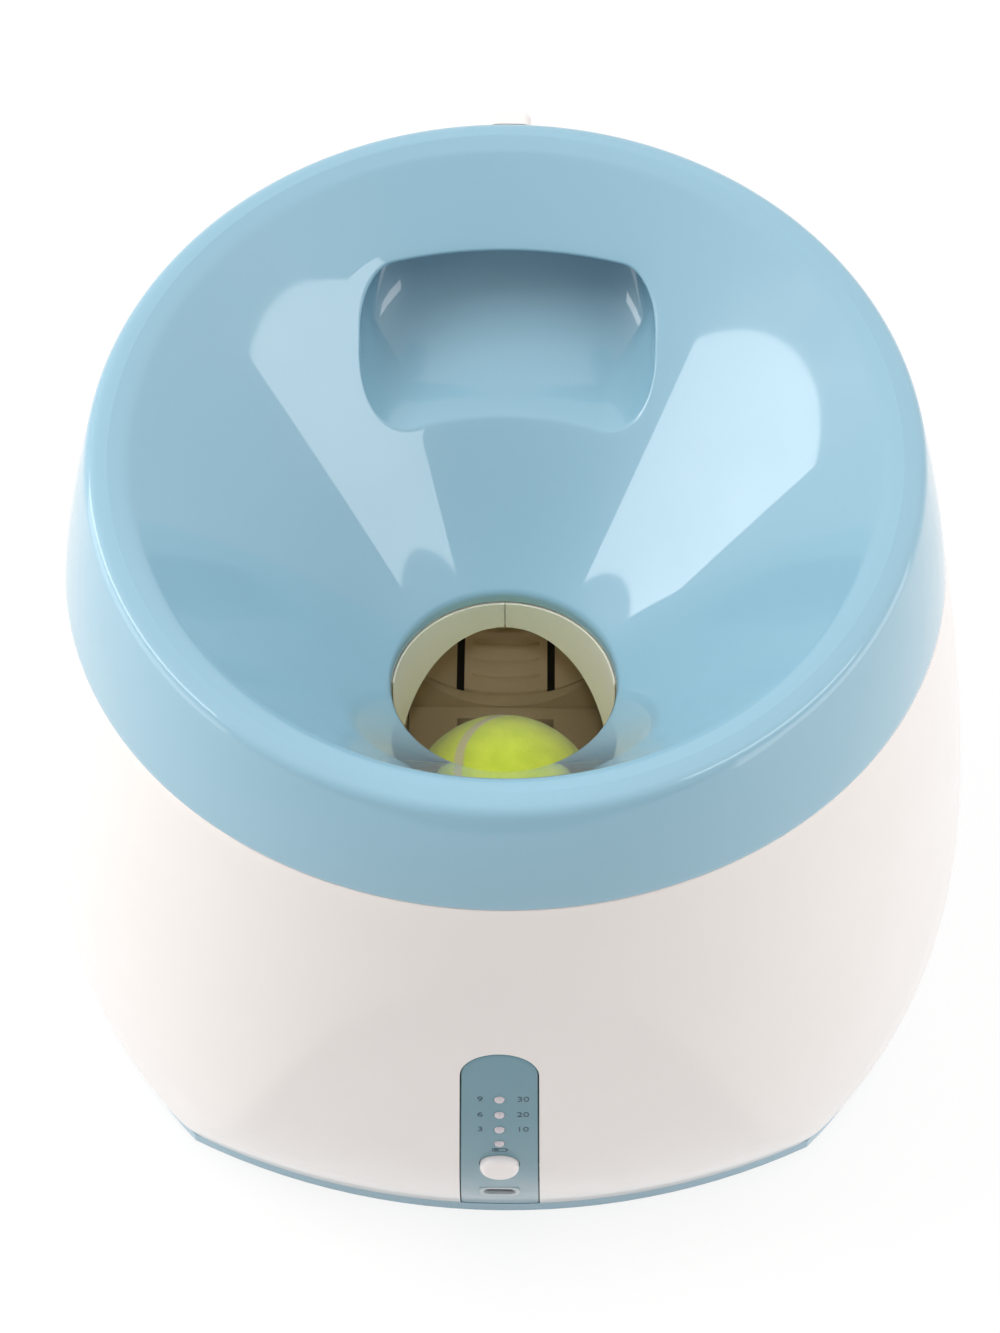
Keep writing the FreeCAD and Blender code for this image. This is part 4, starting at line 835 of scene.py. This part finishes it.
def barrelPoint(along, x, radius):  # a point of the barrel's floor, seen from the nip
    return launchPoint(along, -sqrt(radius ** 2 - x ** 2))


def linerPiece(name, first, last, stations, material):
    bm = bmesh.new()
    columns = np.linspace(first, last, liner["around"] + 1)
    rings = []
    for along, radius in stations:
        ring = [(x,) + barrelPoint(along, x, radius)[1:] for x in columns]
        ring += [(x,) + barrelPoint(along, x, liner["outer"])[1:] for x in columns[::-1]]
        rings.append(ring)
    sweptSolid(bm, rings)
    place(name, toMesh(name, bm), material, sharp=30)


ribbed = []
along = liner["from"]
while along + liner["pitch"] < liner["to"]:
    wide = liner["pitch"] - liner["groove"]
    ribbed += [(along, liner["inner"]), (along + 0.3, liner["rib"] + 0.15), (along + 0.6, liner["rib"]),
               (along + wide * 0.6, liner["rib"] + 0.05), (along + wide, liner["rib"] + 0.4),
               (along + wide + 0.1, liner["inner"])]
    along += liner["pitch"]
plain = [(liner["from"], liner["inner"]), (liner["to"], liner["inner"])]
rail = [(liner["from"], liner["rib"] - 0.2), (liner["to"], liner["rib"] - 0.2)]
linerPiece("barrelRibs", -liner["middle"], liner["middle"], ribbed, khaki)
for side, tag in ((-1, "Left"), (1, "Right")):
    linerPiece("barrelRail" + tag, *sorted((side * liner["middle"], side * liner["rail"])), rail, khaki)
    # near-black strips in the slot gaps are painted shade: the deep slots look dark only from the shade
    # inside them
    linerPiece("barrelSlotShade" + tag, *sorted((side * liner["rail"], side * liner["slot"])),
               [(liner["from"], liner["outer"] - 0.15), (liner["to"], liner["outer"] - 0.15)], nearBlackAndSlotShade)
    linerPiece("barrelPlate" + tag, *sorted((side * liner["slot"], side * liner["side"])), plain, khaki)
print("barrel liner made")

# cream band in the shaft under the hole, arched where the barrel begins

shaftBand = {"inner": 34.5, "outer": 35.05, "top": 167.4, "arch": 35.0, "archZ": 120.6, "reach": 86.0,
             "parting": 0.35, "steps": 60}


def bandHalf(bm, side):
    rings = []
    for angle in np.linspace(shaftBand["parting"], shaftBand["reach"], shaftBand["steps"]):
        across = side * sin(radians(angle))
        back = cos(radians(angle))
        half = shaftBand["outer"] * across * 0.997  # stays within the arch
        low = shaftBand["archZ"] + sqrt(shaftBand["arch"] ** 2 - half ** 2)
        section = ((shaftBand["inner"] + 0.2, shaftBand["top"]),
                   (shaftBand["inner"], shaftBand["top"] - 0.2), (shaftBand["inner"], low),
                   (shaftBand["outer"], low), (shaftBand["outer"], shaftBand["top"]))
        rings.append([(across * radius, top["holeY"] + back * radius, z) for radius, z in section])
    sweptSolid(bm, rings)


bm = bmesh.new()
bandHalf(bm, -1)
bandHalf(bm, 1)
place("shaftBand", toMesh("shaftBand", bm), cream, sharp=30)
print("shaft band made")

# finishes of the pieces that stay as they are

finishes = {"base_plate": skyBlue, "rubber_feet": rubber, "switch_plunger": dark, "button_switch": dark,
            "charge_socket": nearBlackAndSlotShade, "control_board": boardGreen, "board_screws": steel,
            "outlet_bezel": skyBlue, "sensor_pod": white, "sensor_lens": lensWhite, "ramp_floor": khaki,
            "feed_tongue": khaki, "tongue_pin": steel, "lift_lever": dark, "lever_shaft": steel,
            "lever_roller": dark, "roller_pin": steel, "lift_gearmotor": dark, "gearmotor_bracket": steel,
            "battery_cells": cellWrap, "battery_tray": dark, "battery_strap": steel, "motor_screws": steel,
            "clamp_screws": steel, "base_screws": steel, "bracket_screws": steel, "chamber_screws": steel,
            "top_screws": steel, "chamber_left": chamberTone, "chamber_right": chamberTone,
            "launch_barrel": khaki, "ball_eye_left": dark,
            "ball_eye_right": dark, "flywheel_hub_left": dark, "flywheel_hub_right": dark,
            "flywheel_tyre_left": tyreRubber, "flywheel_tyre_right": tyreRubber, "motor_shaft_left": steel,
            "motor_shaft_right": steel, "flywheel_motor_left": motorSteel,
            "flywheel_motor_right": motorSteel, "motor_bracket_left": dark, "motor_bracket_right": dark}
for name, material in finishes.items():
    mesh = nodes[name].data
    mesh.materials.clear()
    mesh.materials.append(material)
print("finishes set")

# floor, light and background

studio = {"floorRadius": 4000, "floorGrey": 0.8, "glow": 1.05, "glowShare": 0.8, "skyFront": 0.4,
          "skyRear": 0.78, "skyFrom": -0.8, "skyTo": 0.4}


def floorMaterial():
    material, tree, bsdf = shader("paleFloor")
    new = tree.nodes.new
    bsdf.inputs["Base Color"].default_value = (studio["floorGrey"],) * 3 + (1,)
    bsdf.inputs["Roughness"].default_value = 0.8
    glow, ray, mix = new("ShaderNodeEmission"), new("ShaderNodeLightPath"), new("ShaderNodeMixShader")
    share = new("ShaderNodeMath"); share.operation = "MULTIPLY"
    share.inputs[1].default_value = studio["glowShare"]
    glow.inputs["Color"].default_value = (1, 1, 1, 1)
    glow.inputs["Strength"].default_value = studio["glow"]
    seen = new("ShaderNodeMath"); seen.operation = "MAXIMUM"
    both = new("ShaderNodeMath"); both.operation = "MAXIMUM"
    link(tree, ray.outputs["Is Camera Ray"], seen.inputs[0])
    link(tree, ray.outputs["Is Glossy Ray"], seen.inputs[1])
    link(tree, seen.outputs[0], both.inputs[0])
    link(tree, ray.outputs["Is Transmission Ray"], both.inputs[1])
    link(tree, both.outputs[0], share.inputs[0])
    link(tree, share.outputs[0], mix.inputs["Fac"])
    link(tree, bsdf.outputs[0], mix.inputs[1])
    link(tree, glow.outputs[0], mix.inputs[2])
    link(tree, mix.outputs[0], tree.nodes["Material Output"].inputs["Surface"])
    return material


bm = bmesh.new()
bmesh.ops.create_circle(bm, cap_ends=True, radius=studio["floorRadius"], segments=64)
floorMesh = toMesh("floor", bm)
floor = bpy.data.objects.new("floor", floorMesh)
floorMesh.materials.append(floorMaterial())
bpy.context.scene.collection.objects.link(floor)

world = bpy.data.worlds.new("studio")
bpy.context.scene.world = world
world.use_nodes = True
tree = world.node_tree
sky = tree.nodes["Background"]
sky.inputs["Color"].default_value = (1, 1, 1, 1)
ray = tree.nodes.new("ShaderNodeLightPath")
around, parts = tree.nodes.new("ShaderNodeTexCoord"), tree.nodes.new("ShaderNodeSeparateXYZ")
link(tree, around.outputs["Generated"], parts.inputs[0])
depth = tree.nodes.new("ShaderNodeMapRange")  # a little darker towards the front
depth.inputs["From Min"].default_value = studio["skyFrom"]
depth.inputs["From Max"].default_value = studio["skyTo"]
depth.inputs["To Min"].default_value = studio["skyFront"]
depth.inputs["To Max"].default_value = studio["skyRear"]
link(tree, parts.outputs["Y"], depth.inputs["Value"])
seen = tree.nodes.new("ShaderNodeMath"); seen.operation = "MAXIMUM"
link(tree, ray.outputs["Is Camera Ray"], seen.inputs[0])
link(tree, ray.outputs["Is Transmission Ray"], seen.inputs[1])
level = tree.nodes.new("ShaderNodeMix")
level.inputs[3].default_value = 1.0
link(tree, seen.outputs[0], level.inputs["Factor"])
link(tree, depth.outputs[0], level.inputs[2])
link(tree, level.outputs[0], sky.inputs["Strength"])


# rectangular lamp: bearing is clockwise from the rear, height above the level, both in degrees
def softbox(name, bearing, height, distance, size, radiance, lean=0.0, aim=(0, -0.01, 0.21), slide=0.0):
    lamp = bpy.data.lights.new(name, "AREA")
    lamp.shape, lamp.size, lamp.size_y = "RECTANGLE", size[0], size[1]
    lamp.energy = radiance * pi * size[0] * size[1]
    piece = bpy.data.objects.new(name, lamp)
    a, h = radians(bearing), radians(height)
    away = Vector((sin(a) * cos(h), cos(a) * cos(h), sin(h)))
    piece.location = Vector(aim) + away * distance
    turn = (-away).to_track_quat("-Z", "Y") @ Matrix.Rotation(radians(lean), 3, "Z").to_quaternion()
    piece.rotation_euler = turn.to_euler()
    piece.location += turn @ Vector((slide, 0, 0))
    bpy.context.scene.collection.objects.link(piece)
    return piece


softbox("leftBox", -83.6, 34.1, 1.5, (1.24, 0.27), 3.9, 36.1, slide=0.08)
softbox("rightBox", 111.2, 46.9, 1.77, (1.02, 0.3), 2.6, -27.2, slide=-0.06)
shines = [softbox("leftShine", -83.6, 34.1, 1.49, (1.24, 0.27), 1.3, 36.1, slide=0.08),
          softbox("rightShine", 111.2, 46.9, 1.76, (1.02, 0.3), 1.2, -27.2, slide=-0.06)]
for shine in shines:
    shine.visible_diffuse = False
softbox("lowLeft", -95, 6, 1.6, (1.6, 1.0), 1.8, aim=(0, 0, 0.12))
softbox("lowRight", 105, 4, 1.6, (1.6, 1.0), 1.8, aim=(0, 0, 0.12))
fills = [softbox("overhead", 0, 78, 1.8, (1.6, 1.4), 0.3),
         softbox("highLeft", -80, 55, 1.7, (1.1, 1.1), 3.3),
         softbox("highRight", 80, 55, 1.7, (1.1, 1.1), 1.4)]
for fill in fills:
    fill.visible_glossy = False

holeBeam = {"place": (0.0, -0.56, 0.94), "aim": (0, -0.012, 0.15), "power": 7.5, "cone": 4.4,
            "blend": 0.5, "size": 0.04}
snoot = bpy.data.lights.new("snoot", "SPOT")  # a narrow beam into the hole
snoot.energy, snoot.spot_size = holeBeam["power"], radians(holeBeam["cone"])
snoot.spot_blend, snoot.shadow_soft_size = holeBeam["blend"], holeBeam["size"]
beam = bpy.data.objects.new("snoot", snoot)
beam.location = holeBeam["place"]
beam.rotation_euler = (Vector(holeBeam["aim"]) - beam.location).to_track_quat("-Z", "Y").to_euler()
beam.visible_glossy = False
bpy.context.scene.collection.objects.link(beam)
print("stage and lamps ready")

bpy.context.view_layer.update()
